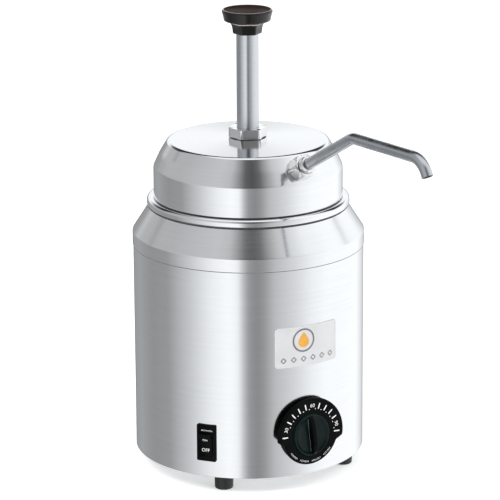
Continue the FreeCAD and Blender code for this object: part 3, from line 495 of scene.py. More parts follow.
def bar(length, width, place, depth=LETTER):
    """A thin raised bar with rounded ends, its length along the frame's Y."""
    count = 16
    ends = []
    for angle in angles_round(count):
        sine = math.sin(angle)
        shift = math.copysign(length / 2 - width / 2, sine) if abs(sine) > 1e-6 else 0
        ends.append((width / 2 * math.cos(angle), shift + width / 2 * sine))
    sections = [[place @ Vector((x, y, level)) for x, y in ends] for level in (-depth / 2, depth / 2)]
    shape = stacked(sections)
    cap(shape, 0, count, forward=False)
    cap(shape, count, count)
    return shape


# ---------------------------------------------------------------- the housing


def make_shell():
    """The rolled cylinder with a hemmed lower edge."""
    low, high = shell_low.z, shell_high.z
    sheet = 1.0
    shape = turned(
        [
            (shell_radius - sheet, low, 0.3),
            (shell_radius, low, 0.4),
            (shell_radius, high, 0.3),
            (shell_radius - sheet, high, 0.3),
        ]
    )
    add_piece("shell_skin", shape, "housing", "brushed_stainless", ["outer_shell"])


def make_shoulder():
    """The skirt over the shell's edge, the cone and the seat."""
    skirt, low, seat = ring_high.x, shell_high.z, ring_high.z
    lip = shell_radius - 1.1
    skirt_top = low + 11.5
    seat_radius = 86.0
    bore = corners_of("heating_well")[1].x - 3.7
    shape = turned(
        [
            (lip - 1, low - 9),
            (lip, low - 9),
            (lip, low + 0.1),
            (skirt, low, 0.5),
            (skirt, skirt_top, 2.2),
            (seat_radius, seat, 1.2),
            (bore, seat, 0.3),
            (bore, seat - 1, 0.3),
            (seat_radius - 0.5, seat - 1),
            (skirt - 1, skirt_top - 0.4, 1),
            (skirt - 1, low + 1, 0.3),
            (lip - 1, low + 1),
        ]
    )
    add_piece("shoulder_skin", shape, "housing", "brushed_stainless", ["shoulder_ring"])
    # painted shade: a thin dark ring under the skirt's edge stands in for the shadow line where the skirt
    # overhangs the shell
    skirt_shade = painted_shade_ring(shell_radius - 0.4, shell_radius + 0.3, low - 0.45, low + 0.05)
    add_piece("shoulder_skirt_shade", skirt_shade, "housing", "seal_rubber", material="grey_print_and_shade")


def make_feet():
    """Rubber feet with a rounded tread, a hollow for the screw and a flange under the cover."""
    for name in ("foot_front_left", "foot_front_right", "foot_rear_left", "foot_rear_right"):
        low, high = corners_of(name)
        radius = (high.x - low.x) / 2
        middle = Matrix.Translation(((low.x + high.x) / 2, (low.y + high.y) / 2, 0))
        shape = turned(
            [
                (5, low.z, 0.5),
                (radius - 0.5, low.z, 1.4),
                (radius - 0.1, high.z - 2.6, 0.3),
                (radius, high.z - 2.2, 0.3),
                (radius, high.z, 0.3),
                (2.2, high.z, 0.2),
                (2.2, 7, 0.2),
                (4.4, 7, 0.2),
                (4.4, 4, 0.2),
                (5, 4, 0.2),
            ],
            segments=72,
        )
        add_piece(f"{name}_moulding", shape, "housing", "foot_rubber", [name], place=middle)


def make_nameplate():
    """A thin plate bent to the shell, with a raised border, an amber drop in a ring and a row of diamonds."""
    low, high = corners_of("nameplate")
    half_wide = math.asin(high.x / shell_radius) * shell_radius
    half_tall = (high.z - low.z) / 2
    middle = (high.z + low.z) / 2

    def bent(across, up, lift):
        turn = across / shell_radius
        reach = shell_radius + lift
        return (reach * math.sin(turn), -reach * math.cos(turn), middle + up)

    def loop(inset, lift):
        soft = max(3.0 - inset, 0.2)
        wide, tall = 2 * (half_wide - inset), 2 * (half_tall - inset)
        return [bent(x, y, lift) for x, y, _ in rounded_rectangle(wide, tall, soft, 0.0, sides=24)]

    levels = [(0.3, 0.02), (0, 0.1), (0, 0.4), (0.25, 0.58), (1.1, 0.6), (1.3, 0.5)]
    levels += [(1.3 + (half_tall - 1.5) * step / 8, 0.5) for step in range(1, 9)]
    shape = stacked([loop(*level) for level in levels])
    count = len(shape[0]) // len(levels)
    shape[1].extend(strip_across(len(shape[0]) - count, count))
    add_piece("nameplate_print", shape, "housing", "plate_print", ["nameplate"])

    def on_plate(flat):
        return [bent(x, y, 0.52 + z) for x, y, z in flat[0]], flat[1], None

    mark_up, mark_left = 5.2, -4.5
    rim = [(9.0, 0), (10.3, 0), (10.3, 0.1), (9.0, 0.1)]
    ring_points, ring_faces, _ = turned(rim, steps=1, segments=64)
    ring = ([(x + mark_left, y + mark_up, z) for x, y, z in ring_points], ring_faces, None)
    add_piece("plate_mark_ring", on_plate(ring), "housing", "plate_print", material="grey_print_and_shade")
    outline = []
    drop_points = 48
    for angle in angles_round(drop_points):
        pinch = (0.5 + 0.5 * math.sin(angle)) ** 3
        across = 5.4 * math.cos(angle) * (1 - 0.75 * pinch) + mark_left
        outline.append((across, 5.8 * math.sin(angle) + mark_up - 0.6 + 1.9 * pinch))
    drop = stacked([[(x, y, level) for x, y in outline] for level in (0.0, 0.1)])
    cap(drop, drop_points, drop_points)
    cap(drop, 0, drop_points, forward=False)
    add_piece("plate_mark_drop", on_plate(drop), "housing", "plate_print", material="amber_print")
    bars = []
    pitch, row_up, row_lift = 9.2, -11.2, 0.03
    for step in range(6):
        middle_of = Matrix.Translation((pitch * (step - 2.5), row_up, row_lift))
        for quarter in range(4):
            side = middle_of @ Matrix.Rotation(math.pi / 4 * (2 * quarter + 1), 4, "Z")
            bars.append(bar(3.6, 0.75, side @ Matrix.Translation((1.6, 0, 0))))
    add_piece("plate_mark_bars", on_plate(merged(bars)), "housing", "plate_print", material="grey_print_and_shade")


def make_seam():
    """The rippled weld that closes the rolled shell at the back."""
    sections = []
    place = standing(180, 0)
    low, high = shell_low.z + 0.8, shell_high.z - 0.8
    rows = int((high - low) / 0.8)
    for row in range(rows + 1):
        level = low + (high - low) * row / rows
        half = 1.1 + 0.12 * math.sin(row * 2.1) + 0.06 * math.sin(row * 0.7)
        rise = 0.16 + 0.05 * (row % 2)
        section = []
        shares = [step / 4 - 1 for step in range(9)]
        for share in shares:
            section.append(place @ Vector((half * share, level, shell_radius + rise * (1 - share ** 2))))
        for share in reversed(shares):
            section.append(place @ Vector((half * share, level, shell_radius - 0.3)))
        sections.append(section)
    seam = stacked(sections)
    count = len(sections[0])
    cap(seam, 0, count, forward=False)
    cap(seam, len(seam[0]) - count, count)
    add_piece("shell_seam", seam, "housing", "brushed_stainless", material="spout_stainless", bend=60)


def screw(head, shank, low, seat, tip):
    """A pan-head screw about Z, head down, with a cross recess."""
    rings, count = 16, 64
    points, loops = [(0.0, 0.0, low + 0.9)], [[0]]
    for ring in range(1, rings + 1):
        radius = head * ring / rings
        loop = []
        for angle in angles_round(count):
            x, y, _ = polar(radius, angle, 0)
            level = low + (seat - low) * 0.55 * (ring / rings) ** 4
            arm = min(abs(x), abs(y))
            if radius < 0.62 * head and arm < 0.17 * head:
                level = low + 0.9 * (1 - 0.5 * radius / head)
            loop.append(len(points))
            points.append((x, y, level))
        loops.append(loop)
    for radius, level in ((head, seat), (shank, seat), (shank, tip - 0.5), (shank - 0.4, tip)):
        loops.append(list(range(len(points), len(points) + count)))
        points += [polar(radius, angle, level) for angle in angles_round(count)]
    loops.append([len(points)])
    points.append((0.0, 0.0, tip))
    return points, join_rings(loops), None


def make_screws():
    """The cover screws and the foot screws under the housing, four of each."""
    cover_low, cover_high = corners_of("base_screws")
    foot_low, foot_high = corners_of("foot_screws")
    plate = corners_of("base_plate")[0].z
    kinds = (
        ("base_screws", 91.0, -13.0, screw(2.6, 1.7, cover_low.z, plate, cover_high.z)),
        ("foot_screws", 85.0, 45.0, screw(4.0, 2.0, foot_low.z, 7.0, foot_high.z)),
    )
    for name, circle, first, shape in kinds:
        copies = []
        for step in range(4):
            spot = standing(first + 90 * step, 0) @ Vector((0, 0, circle))
            turn = Matrix.Translation(spot) @ Matrix.Rotation(0.7 * step, 4, "Z")
            copies.append(([turn @ Vector(point) for point in shape[0]], shape[1], None))
        add_piece(f"{name}_cross", merged(copies), "housing", "zinc_screw", [name])


def make_gland():
    """The nylon cord bushing: a domed flange with a stepped mouth."""
    low, high = corners_of("cord_gland")
    inner, outer, bore = low.y, high.y, 4.0
    flange = (high.x - low.x) / 2
    shape = turned(
        [
            (bore, inner, 0.3),
            (6.5, inner, 0.4),
            (6.5, shell_radius),
            (flange, shell_radius, 0.2),
            (flange, shell_radius + 1.2, 0.5),
            (flange - 1.3, outer, 0.8),
            (bore + 1.7, outer, 0.3),
            (bore + 1.4, outer - 0.8, 0.3),
            (bore, outer - 1.2, 0.4),
        ],
        segments=96,
    )
    place = standing(180, (low.z + high.z) / 2)
    add_piece("gland_moulding", shape, "housing", "nylon", ["cord_gland"], place=place)


def strip_across(first, count):
    """Quads that close a loop of points whose two long sides face each other."""
    half = count // 2
    return [
        (first + index, first + index + 1, first + count - 2 - index, first + count - 1 - index)
        for index in range(half - 1)
    ]


# ---------------------------------------------------------------- the controls

dial_low, dial_high = corners_of("temperature_dial")
dial_place = standing(0, joint("dial_turn")["pos_m"][2] / MM)
dial_face = -joint("dial_turn")["pos_m"][1] / MM
DIAL_TURN = -2.8
FINGER_BAR_LEAN = 9.0


def dial_reach(angle, radius, lobe):
    """The dial's outline: a wide arc above, a smaller lobe below, and slanted shoulders between."""
    turned_back = (math.degrees(angle) + 90) % 360 - 90
    away = abs(turned_back - 90)
    blend = min(max((away - 97) / 9.8, 0), 1)
    return radius + (lobe - radius) * blend


def make_dial():
    """The dial's skirt with a narrow bevel, the shaft, the hollowed hub, the finger bar with painted
    highlight strips along its sides, and the print.
    """
    base = dial_face - 2.6
    radius = dial_high.x
    lobe = radius * 27.0 / 32.2
    count = 240
    levels = [(5.0, base), (0.3, base), (0, base + 0.3), (0, dial_face - 0.9), (0.25, dial_face - 0.45)]
    levels += [(0.9, dial_face - 0.1), (1.4, dial_face), (8.0, dial_face), (18.0, dial_face)]
    sections = []
    for inset, level in levels:
        reaches = [(dial_reach(angle, radius, lobe) - inset, angle) for angle in angles_round(count)]
        sections.append([polar(reach, angle, level) for reach, angle in reaches])
    skirt = stacked(sections)
    cap(skirt, 0, count, forward=False)
    cap(skirt, len(skirt[0]) - count, count)
    turn = dial_place @ Matrix.Rotation(math.radians(DIAL_TURN), 4, "Z")
    hub_turn = turn @ Matrix.Rotation(math.radians(FINGER_BAR_LEAN), 4, "Z")
    add_piece("dial_skirt", skirt, "dial", "black_control", ["temperature_dial"], place=turn)
    inner_end = -corners_of("thermostat_shaft")[1].y
    shaft_radius, outer_end = 3, dial_face + 0.4
    outline = [(0, inner_end), (shaft_radius, inner_end, 0.3), (shaft_radius, outer_end, 0.3), (0, outer_end)]
    shaft = turned(outline, open_ends=True)
    add_piece("shaft_rod", shaft, "dial", "zinc_screw", ["thermostat_shaft"], place=dial_place)
    slot = "black_control"
    add_piece("dial_hub", dial_hub(dial_face), "dial", slot, material="hub_black", place=hub_turn, bend=40)
    add_piece("finger_bar", finger_bar(dial_face, -dial_low.y), "dial", slot, place=hub_turn, bend=30)
    # painted highlight: two pale strips along the finger bar's sides stand in for light caught on its edges
    spots = [hub_turn @ Matrix.Translation((side * 2.25, 0, dial_face + 1.0)) for side in (-1, 1)]
    edges = merged([bar(30, 0.35, spot) for spot in spots])
    add_piece("hub_edge_highlights", edges, "dial", slot, material="painted_highlight_grey")
    add_piece("dial_print", dial_print(dial_face), "dial", slot, material="white_print", place=turn)


def dial_hub(level):
    """An oval hub, hollowed inside a raised rim."""
    half_wide, half_tall = 17.2, 18.6
    outside = [(1.02, -0.05), (1.0, 1.2), (0.985, 2.1), (0.955, 2.6)]
    inside = [(0.925, 2.6), (0.90, 2.2), (0.86, 1.2), (0.80, 0.85), (0.4, 0.8)]
    sections = []
    for share, rise in outside + inside:
        wide, tall = half_wide * share, half_tall * share
        oval = [(wide * math.cos(angle), tall * math.sin(angle), level + rise) for angle in angles_round(160)]
        sections.append(oval)
    sections.append([(0, 0, level + 0.8)])
    return stacked(sections)


def finger_bar(level, top):
    """A narrow ridge across the hub, thinner and lower towards its ends."""
    profile = [(2.1, 0.6), (1.9, 0.9), (1.5, 0.985), (0.9, 1.0)]
    half_tall, steps = 18.0, 40
    sections = [[(0, -half_tall, level)]]
    for step in range(1, steps):
        up = -half_tall * math.cos(math.pi * step / steps)
        slope = math.sqrt(1 - (up / half_tall) ** 2)
        crest = 0.5 * (top - level) * (1 - 0.4 * abs(up / half_tall) ** 3) * min(1, 0.45 + slope)
        narrow = 0.6 + 0.4 * slope
        side = [(half * narrow, up, level + crest * rise) for half, rise in [(2.2, 0.0)] + profile]
        sections.append(side + [(-across, along, height) for across, along, height in reversed(side)])
    sections.append([(0, half_tall, level)])
    return stacked(sections)


def dial_print(level):
    """Radial ticks with dots between them, three numbers, and fine marks round the lobe."""
    shapes = []
    lift = level + LETTER / 2
    numbers = {1: "30", 6: "60", 11: "90"}
    middle = 25.6
    for step in range(13):
        angle = 180 - 15 * step
        if step in numbers:
            place = polar_place(angle, middle, lift) @ Matrix.Rotation(math.radians(-90), 4, "Z")
            shapes.append(lettering(numbers[step], 4.6, place))
        else:
            length = 5.6 if step in (0, 12) else 5.2
            place = polar_place(angle, middle, lift) @ Matrix.Rotation(math.pi / 2, 4, "Z")
            shapes.append(bar(length, 1.1, place))
        if 1 <= step < 12:
            shapes.append(bar(0.9, 0.85, polar_place(angle - 7.5, middle - 2.8, lift)))
    for step in range(34):
        if step % 9 not in (7, 8):
            place = polar_place(218 + 3.2 * step, 24.0, lift) @ Matrix.Rotation(math.pi / 2, 4, "Z")
            shapes.append(bar(1.7 if step % 3 else 1.1, 0.4, place))
    return merged(shapes)


def polar_place(angle, radius, lift):
    """A frame at an angle and radius on a face, its X pointing outwards."""
    turn = math.radians(angle)
    return Matrix.Translation(polar(radius, turn, lift)) @ Matrix.Rotation(turn, 4, "Z")


switch_low, switch_high = corners_of("switch_housing")
SWITCH_TURN = -51.3
switch_place = standing(SWITCH_TURN, (switch_low.z + switch_high.z) / 2)


def make_switch():
    """The bezel with its bevelled frame and deep recess, and the rocker with a hollow face and two words."""
    base, top = shell_radius - 0.6, shell_radius + 2.1
    wide, tall = 17.4, 32.7
    sections = [
        rounded_rectangle(wide - 1, tall - 1, 0.8, base),
        rounded_rectangle(wide, tall, 1.2, base + 0.7),
        rounded_rectangle(wide, tall, 1.2, top - 0.9),
        rounded_rectangle(wide - 0.5, tall - 0.5, 1.1, top - 0.35),
        rounded_rectangle(wide - 1.6, tall - 1.6, 1.0, top),
        rounded_rectangle(12.8, 24.4, 0.9, top),
        rounded_rectangle(12.0, 23.6, 0.7, top - 0.5),
        rounded_rectangle(11.8, 23.4, 0.6, top - 9),
    ]
    bezel = stacked(sections)
    count = len(sections[0])
    cap(bezel, len(bezel[0]) - count, count)
    slot = "black_control"
    add_piece("switch_bezel", bezel, "housing", slot, ["switch_housing"], place=switch_place)
    pivot = 97.2
    tilt = math.radians(11)
    rocker_place = switch_place @ Matrix.Translation((0, 0, pivot)) @ Matrix.Rotation(tilt, 4, "X")
    half_wide, half_tall, rows = 5.5, 10.3, 24
    middle_out, end_rise = 4.5, 2.1

    def face_out(up):
        return middle_out + end_rise * abs(up / half_tall) ** 1.15

    points, faces = [], []
    for row in range(rows + 1):
        up = half_tall * (2 * row / rows - 1)
        soft = 0.5 if abs(up) > half_tall - 0.3 else 0.0
        side = [(half_wide - 0.9, soft), (half_wide - 0.35, 0.1 + soft)]
        side += [(half_wide, 0.45 + soft), (half_wide, 6.5)]
        for x, drop in [(-x, drop) for x, drop in reversed(side)] + side:
            points.append((x, up, face_out(up) - drop))
    across = 8
    for row in range(rows):
        for column in range(across - 1):
            start = row * across + column
            faces.append((start, start + 1, start + across + 1, start + across))
    rocker = (points, faces, None)
    cap(rocker, 0, across, forward=False)
    cap(rocker, rows * across, across)
    for start in range(0, rows * across, across):
        faces.append((start + across - 1, start, start + across, start + 2 * across - 1))
    add_piece("rocker_cap", rocker, "rocker", slot, ["switch_rocker"], place=rocker_place)
    words = []
    for text, up, size in (("ON", 4.2, 2.9), ("OFF", -5.4, 4.2)):
        slope = math.atan(end_rise / half_tall) * math.copysign(1, up)
        place = Matrix.Translation((-0.3, up, face_out(up) + 0.14)) @ Matrix.Rotation(slope, 4, "X")
        words.append(lettering(text, size, place))
    add_piece("rocker_words", merged(words), "rocker", slot, material="white_print", place=rocker_place)


# ---------------------------------------------------------------- lid, pump head and plunger


def make_lid():
    """The domed lid: rolled bead with a fold above it, wall, slightly rounded cone and crowned top, with dark
    rings of painted shade in the fold and under the bead.
    """
    base = corners_of("food_jar")[1].z
    wall, peak = 81.7, lid_high.z
    rim_radius, rim = 69.4, peak - 2.0
    bead_top = base + 6.7
    corner = base + 33
    bulge_radius, bulge = 76.2, 0.45
    land, neck = 24, 12.2
    shape = turned(
        [
            (wall - 1, base),
            (lid_high.x, base, 1.6),
            (lid_high.x, bead_top, 2.9),
            (wall - 0.1, bead_top - 0.4, 0.15),
            (wall - 0.8, bead_top + 0.1, 0.2),
            (wall, bead_top + 0.6, 0.15),
            (wall, corner, 7),
            (bulge_radius, (corner + rim) / 2 + bulge, 40),
            (rim_radius, rim, 3.5),
            (land, peak, 60),
            (neck, peak, 0.3),
            (neck, peak - 1, 0.3),
            (land, peak - 1),
            (68.8, rim - 1, 1),
            (wall - 1, corner - 0.6, 4),
        ],
        steps=8,
    )
    add_piece("lid_skin", shape, "lid_and_pump", "brushed_stainless", ["lid"], material="lid_stainless")
    # painted shade: a dark ring in the fold above the bead stands in for the shadow in that crease
    groove_shade = painted_shade_ring(wall - 0.9, wall - 0.12, bead_top - 0.3, bead_top + 0.35)
    add_piece("bead_groove_shade", groove_shade, "lid_and_pump", "seal_rubber")
    # painted shade: a dark ring in the gap between the lid's bead and the shoulder's seat stands in for the
    # shadow in that gap
    rim_shade = painted_shade_ring(85.4, lid_high.x - 0.7, base - 0.95, base + 0.1)
    add_piece("jar_rim_shade", rim_shade, "lid_and_pump", "seal_rubber")


def painted_shade_ring(inner, outer, low, high):
    """A thin ring of painted shade that fills a gap, with softened edges; its dark material stands in for the
    shadow in that gap.
    """
    return turned([(inner, low), (outer, low, 0.2), (outer, high, 0.2), (inner, high)], steps=3)


def make_collar():
    """The hexagonal collar round the plunger, raised on a thin dark ring of painted shade that stands in for
    the shadow line at its base.
    """
    low, high = collar_low.z, collar_high.z
    flats, bore, shade_ring_radius = 29.2, 9.6, 15.6
    shape = hexagonal(flats, low + 0.45, high, bore, 0.7, turn=COLLAR_TURN)
    slot = "polished_stainless"
    add_piece("collar_hex", shape, "lid_and_pump", slot, ["lock_collar"], material="collar_stainless")
    # painted shade: a thin dark ring under the collar's base stands in for its contact shadow
    outline = [(bore, low), (shade_ring_radius, low, 0.1), (shade_ring_radius, low + 0.5, 0.1), (bore, low + 0.5)]
    collar_shade = turned(outline, segments=96)
    add_piece("collar_shade_ring", collar_shade, "lid_and_pump", "seal_rubber")


def make_return_spring():
    """The coil under the piston, its end turns a little closer."""
    low, high = corners_of("return_spring")
    wire, travel = 0.9, 60.0
    radius = high.x - wire
    turns, around, sides = 10, 36, 10
    count = turns * around
    height = high.z - low.z - 2 * wire
    sections = []
    for step in range(count + 1):
        share = step / count
        angle = math.tau * step / around
        closed = share - 0.6 / turns * math.sin(math.tau * share) / math.tau * 1.6
        level = low.z + wire + height * closed
        section = []
        for lean in angles_round(sides):
            section.append(polar(radius + wire * math.cos(lean), angle, level + wire * math.sin(lean)))
        sections.append(section)
    shape = stacked(sections)
    cap(shape, 0, sides)
    cap(shape, len(shape[0]) - sides, sides, forward=False)
    coil = add_piece("return_coil", shape, "lid_and_pump", "spring_steel", ["return_spring"])
    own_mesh(coil)


def make_outlet():
    """The hexagonal nut and the ferrule where the spout leaves the lid."""
    low, high = corners_of("spout_nut")
    middle = (low + high) / 2
    axis = Matrix.Translation(middle) @ Matrix.Rotation(math.radians(LID_TURN), 4, "Z")
    axis = axis @ Matrix.Rotation(math.radians(90 - OUTLET_ANGLE), 4, "X")
    nut = hexagonal(18.6, -6, 6, 7.1, 1.5, bottom_chamfer=0.9)
    add_piece("nut_hex", nut, "lid_and_pump", "polished_stainless", ["spout_nut"], place=axis)
    ferrule = turned([(4.9, 6), (7.2, 6, 0.3), (6.9, 9.6, 0.5), (6.3, 11, 0.5), (4.9, 11, 0.2)], segments=96)
    add_piece("ferrule_skin", ferrule, "lid_and_pump", "polished_stainless", ["spout_ferrule"], place=axis)


def make_plunger():
    """The plunger's tube."""
    radius, bore = tube_high.x, tube_high.x - 1.2
    low, high = tube_low.z, tube_high.z
    shape = turned([(bore, low), (radius, low, 0.3), (radius, high, 0.3), (bore, high)], segments=96)
    slot = "brushed_stainless"
    add_piece("plunger_sleeve", shape, "plunger", slot, ["plunger_tube"], material="tube_stainless")


# level above the base, corner radius, share of the hexagon
KNOB_STATIONS = [
    (0.0, 11.8, 1.0), (0.25, 12.4, 1.0), (0.7, 12.75, 1.0), (2.5, 12.95, 1.0), (5.0, 13.25, 1.0),
    (7.0, 13.8, 1.0), (8.6, 14.6, 1.0), (9.4, 15.2, 1.0), (9.8, 15.5, 1.0), (10.1, 15.9, 0.9),
    (10.4, 17.0, 0.5), (10.9, 18.8, 0.15), (11.5, 19.7, 0.0), (12.2, 20.0, 0.0), (13.5, 20.2, 0.0),
]
# level above the base, inset from the knob's rim
KNOB_RIM = [
    (17.5, 0.5), (18.6, 0.1), (19.3, 0.0), (20.0, 0.12), (20.5, 0.5), (20.8, 1.1), (20.72, 1.6),
    (20.3, 2.0), (19.5, 4.2), (18.6, 9.0), (18.2, 14.0), (18.1, 18.7),
]
KNOB_DISH = [(20.76, 1.45), (20.5, 2.3), (19.75, 4.2), (18.85, 9.0), (18.45, 14.0), (18.35, 18.7)]


def make_knob():
    """The flared knob: a hexagonal neck that opens into a round dished head, with strips of painted highlight
    round the rim and along the neck's flare.
    """
    count, bore = 180, 9.7
    start = math.radians(-30 + 3) - math.pi / 2
    base, rim = knob_low.z, knob_high.x
    stations = KNOB_STATIONS + [(level, rim - inset, 0.0) for level, inset in KNOB_RIM]
    angles = angles_round(count)
    sections = [[polar(bore, angle + start, base) for angle in angles]]
    for level, reach, share in stations:
        section = []
        for angle in angles:
            flat = hexagon_reach(angle, reach * math.sqrt(3), reach * 0.97)
            section.append(polar(flat * share + reach * (1 - share), angle + start, base + level))
        sections.append(section)
    sections.append([(0.0, 0.0, base + 18.1)])
    knob = stacked(sections)
    cap(knob, 0, count, forward=False)
    add_piece("knob_moulding", knob, "plunger", "black_knob", ["plunger_knob"], bend=50)
    dish = [circle_of(rim - inset, base + level, count) for level, inset in KNOB_DISH]
    dish = stacked([circle_of(rim - 1.6, base + 20.6, count), *dish, [(0.0, 0.0, base + 18.33)]])
    cap(dish, 0, count, forward=False)
    add_piece("knob_dish", dish, "plunger", "black_knob", material="knob_dish", bend=60)
    # painted highlight: a pale strip round the rim stands in for light caught on the rim's edge
    edge = [(1.5, 20.7), (0.85, 20.68), (0.8, 20.84), (1.45, 20.86)]
    edge = turned([(rim - inset, base + level) for inset, level in edge], steps=1)
    add_piece("knob_painted_highlight", edge, "plunger", "black_knob", material="knob_painted_highlight")
    # painted highlight: a pale strip along the flare stands in for light caught where the hexagonal neck
    # meets the flare
    line = []
    for level, reach in ((8.9, 14.8), (9.0, 15.3), (9.8, 15.9), (10.0, 15.5)):
        reaches = [(hexagon_reach(angle, reach * math.sqrt(3), reach * 0.97), angle) for angle in angles]
        line.append([polar(radius, angle + start, base + level) for radius, angle in reaches])
    add_piece("knob_line_highlight", stacked(line, closed=True), "plunger", "black_knob", material="knob_painted_highlight", bend=60)


def circle_of(radius, level, count):
    """A level loop of points."""
    return [polar(radius, angle, level) for angle in angles_round(count)]


make_shell()
make_shoulder()
make_seam()
make_feet()
make_screws()
make_gland()
make_nameplate()
make_dial()
make_switch()
make_lid()
make_collar()
make_outlet()
make_return_spring()
make_plunger()
make_knob()

# ---------------------------------------------------------------- floor, light and camera

VIEW_AZIMUTH = -30.0
VIEW_DISTANCE = 2.312
VIEW_HEIGHT = 0.8325
VIEW_PITCH = 15.888
VIEW_ROLL = -0.303
VIEW_LENS = 198.96
VIEW_SHIFT = 0.0031


def make_floor():
    """A plain white floor that the steel doesn't mirror."""
    size = 14.0
    mesh = bpy.data.meshes.new("floor")
    corners = [(-size, -size, 0), (size, -size, 0), (size, size, 0), (-size, size, 0)]
    mesh.from_pydata(corners, [], [(0, 1, 2, 3)])
    nodes = Nodes("floor_white")
    nodes.paint(Base_Color=nodes.ramp(nodes.noise(nodes.place, 3.0), [(0.4, 0.93), (0.6, 0.95)]))
    nodes.paint(Roughness=0.9, Specular_IOR_Level=0.1, Emission_Color=(1, 1, 1, 1), Emission_Strength=0.42)
    mesh.materials.append(nodes.material)
    floor = bpy.data.objects.new("floor", mesh)
    bpy.context.scene.collection.objects.link(floor)
    floor.visible_glossy = False


def studio_ring(tree, turn, stops):
    """A ring of cards round the studio: brightness by degrees from the camera's side, towards the right."""
    node = tree.nodes.new("ShaderNodeValToRGB")
    tints = (0.985, 1.0, 1.012)
    coloured = [(place / 360 + 0.5, tuple(level * tint for tint in tints)) for place, level in stops]
    fill_ramp(node.color_ramp, coloured)
    tree.links.new(turn, node.inputs["Fac"])
    return node.outputs["Color"]


# degrees to the right of the camera's side, brightness
LOW_RING = [
    (-180, 0.10), (-173, 0.16), (-166, 0.34), (-140, 0.42), (-112, 0.35), (-88, 0.38), (-62, 0.70),
    (-36, 1.10), (-20, 1.24), (-11, 1.16), (-5, 0.62), (0, 0.38), (8, 0.31), (15, 0.38), (26, 0.63),
    (46, 0.84), (66, 1.12), (84, 1.24), (136, 1.26), (152, 0.92), (164, 0.62), (173, 0.30), (180, 0.10),
]
HIGH_RING = [
    (-180, 1.15), (-155, 1.10), (-135, 0.55), (-95, 0.54), (-66, 0.62), (-40, 0.68), (-24, 0.62),
    (-13, 0.36), (-4, 0.14), (6, 0.10), (16, 0.16), (27, 0.42), (38, 0.68), (56, 0.88), (70, 1.10),
    (100, 1.24), (150, 1.2), (180, 1.15),
]
# height of the direction behind the object, brightness
BACK_ARCH = [(0.0, 0.5), (0.42, 0.12), (0.55, 0.04), (0.93, 0.04), (1.0, 0.4)]


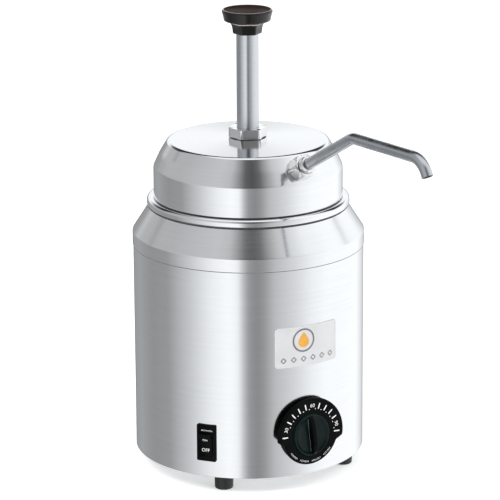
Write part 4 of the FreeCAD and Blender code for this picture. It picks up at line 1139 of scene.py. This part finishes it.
def make_studio():
    """A world of soft white and grey cards that the steel mirrors, and plain white for the camera."""
    world = bpy.data.worlds.new("studio")
    bpy.context.scene.world = world
    world.use_nodes = True
    tree = world.node_tree
    tree.nodes.clear()

    def new(kind):
        return tree.nodes.new("ShaderNode" + kind)

    link = tree.links.new

    def math_node(operation, first, second=0.0, third=0.0):
        node = new("Math")
        node.operation = operation
        for socket, value in zip(node.inputs, (first, second, third)):
            if isinstance(value, bpy.types.NodeSocket):
                link(value, socket)
            else:
                socket.default_value = value
        return node.outputs[0]

    def smooth(value, start, end):
        node = new("MapRange")
        node.interpolation_type = "SMOOTHSTEP"
        link(value, node.inputs["Value"])
        for key, number in (("From Min", start), ("From Max", end)):
            node.inputs[key].default_value = number
        return node.outputs["Result"]

    def blend(share, first, second):
        node = new("Mix")
        node.data_type = "RGBA"
        for key, source in (("Factor", share), (6, first), (7, second)):
            link(source, node.inputs[key])
        return node.outputs[2]

    heading = new("TexCoord").outputs["Generated"]
    split = new("SeparateXYZ")
    link(heading, split.inputs[0])
    across, along, up = split.outputs
    azimuth = math_node("ARCTAN2", across, math_node("MULTIPLY", along, -1.0))
    turn = math_node("ADD", math_node("DIVIDE", azimuth, math.tau), 0.5 - VIEW_AZIMUTH / 360)
    turn = math_node("FRACT", turn)
    low = studio_ring(tree, turn, LOW_RING)
    high = studio_ring(tree, turn, HIGH_RING)
    ring = blend(smooth(up, 0.0, 0.2), low, high)
    view = math.radians(VIEW_AZIMUTH)
    facing = math_node("MULTIPLY", along, -math.cos(view))
    facing = math_node("MULTIPLY_ADD", across, math.sin(view), facing)
    crown = new("RGB")
    crown.outputs[0].default_value = (1.12, 1.13, 1.14, 1.0)
    ring = blend(smooth(up, 0.80, 0.92), ring, crown.outputs[0])
    arch = new("ValToRGB")
    fill_ramp(arch.color_ramp, BACK_ARCH)
    link(up, arch.inputs["Fac"])
    behind = blend(smooth(up, 0.30, 0.42), ring, arch.outputs["Color"])
    ring = blend(smooth(facing, -0.35, -0.5), ring, behind)
    seen = new("LightPath")
    choice = new("Mix")
    choice.data_type = "RGBA"
    link(seen.outputs["Is Camera Ray"], choice.inputs["Factor"])
    link(ring, choice.inputs[6])
    choice.inputs[7].default_value = (1, 1, 1, 1)
    background = new("Background")
    link(choice.outputs[2], background.inputs["Color"])
    output = new("OutputWorld")
    link(background.outputs[0], output.inputs["Surface"])


def make_lamp(name, azimuth, elevation, distance, size, power):
    """A soft box that looks at the middle of the object; the steel doesn't mirror it."""
    lamp = bpy.data.lights.new(name, "AREA")
    lamp.shape = "DISK"
    lamp.size = size
    lamp.energy = power
    holder = bpy.data.objects.new(name, lamp)
    bpy.context.scene.collection.objects.link(holder)
    turn, rise = math.radians(azimuth), math.radians(elevation)
    way = Vector((math.sin(turn) * math.cos(rise), -math.cos(turn) * math.cos(rise), math.sin(rise)))
    holder.location = Vector((0, 0, 0.2)) + way * distance
    holder.rotation_euler = way.to_track_quat("Z", "Y").to_euler()
    holder.visible_glossy = False


def make_camera():
    """A long lens, a little above the object and to the left of its dial."""
    camera = bpy.data.cameras.new("camera")
    camera.lens = VIEW_LENS
    camera.sensor_width = 36.0
    camera.shift_x = VIEW_SHIFT
    camera.clip_end = 100.0
    holder = bpy.data.objects.new("camera", camera)
    bpy.context.scene.collection.objects.link(holder)
    turn = math.radians(VIEW_AZIMUTH)
    height = VIEW_HEIGHT + shell_low.z * MM
    spot = Vector((math.sin(turn) * VIEW_DISTANCE, -math.cos(turn) * VIEW_DISTANCE, height))
    rotation = Matrix.Rotation(turn, 4, "Z") @ Matrix.Rotation(math.radians(90 - VIEW_PITCH), 4, "X")
    rotation = rotation @ Matrix.Rotation(math.radians(VIEW_ROLL), 4, "Z")
    holder.matrix_world = Matrix.Translation(spot) @ rotation
    bpy.context.scene.camera = holder


make_floor()
make_studio()
make_lamp("key_light", VIEW_AZIMUTH - 55, 48, 2.2, 1.2, 22)
make_lamp("fill_light", VIEW_AZIMUTH + 75, 40, 2.6, 1.6, 16)
make_camera()
bpy.context.scene.view_settings.view_transform = "Standard"
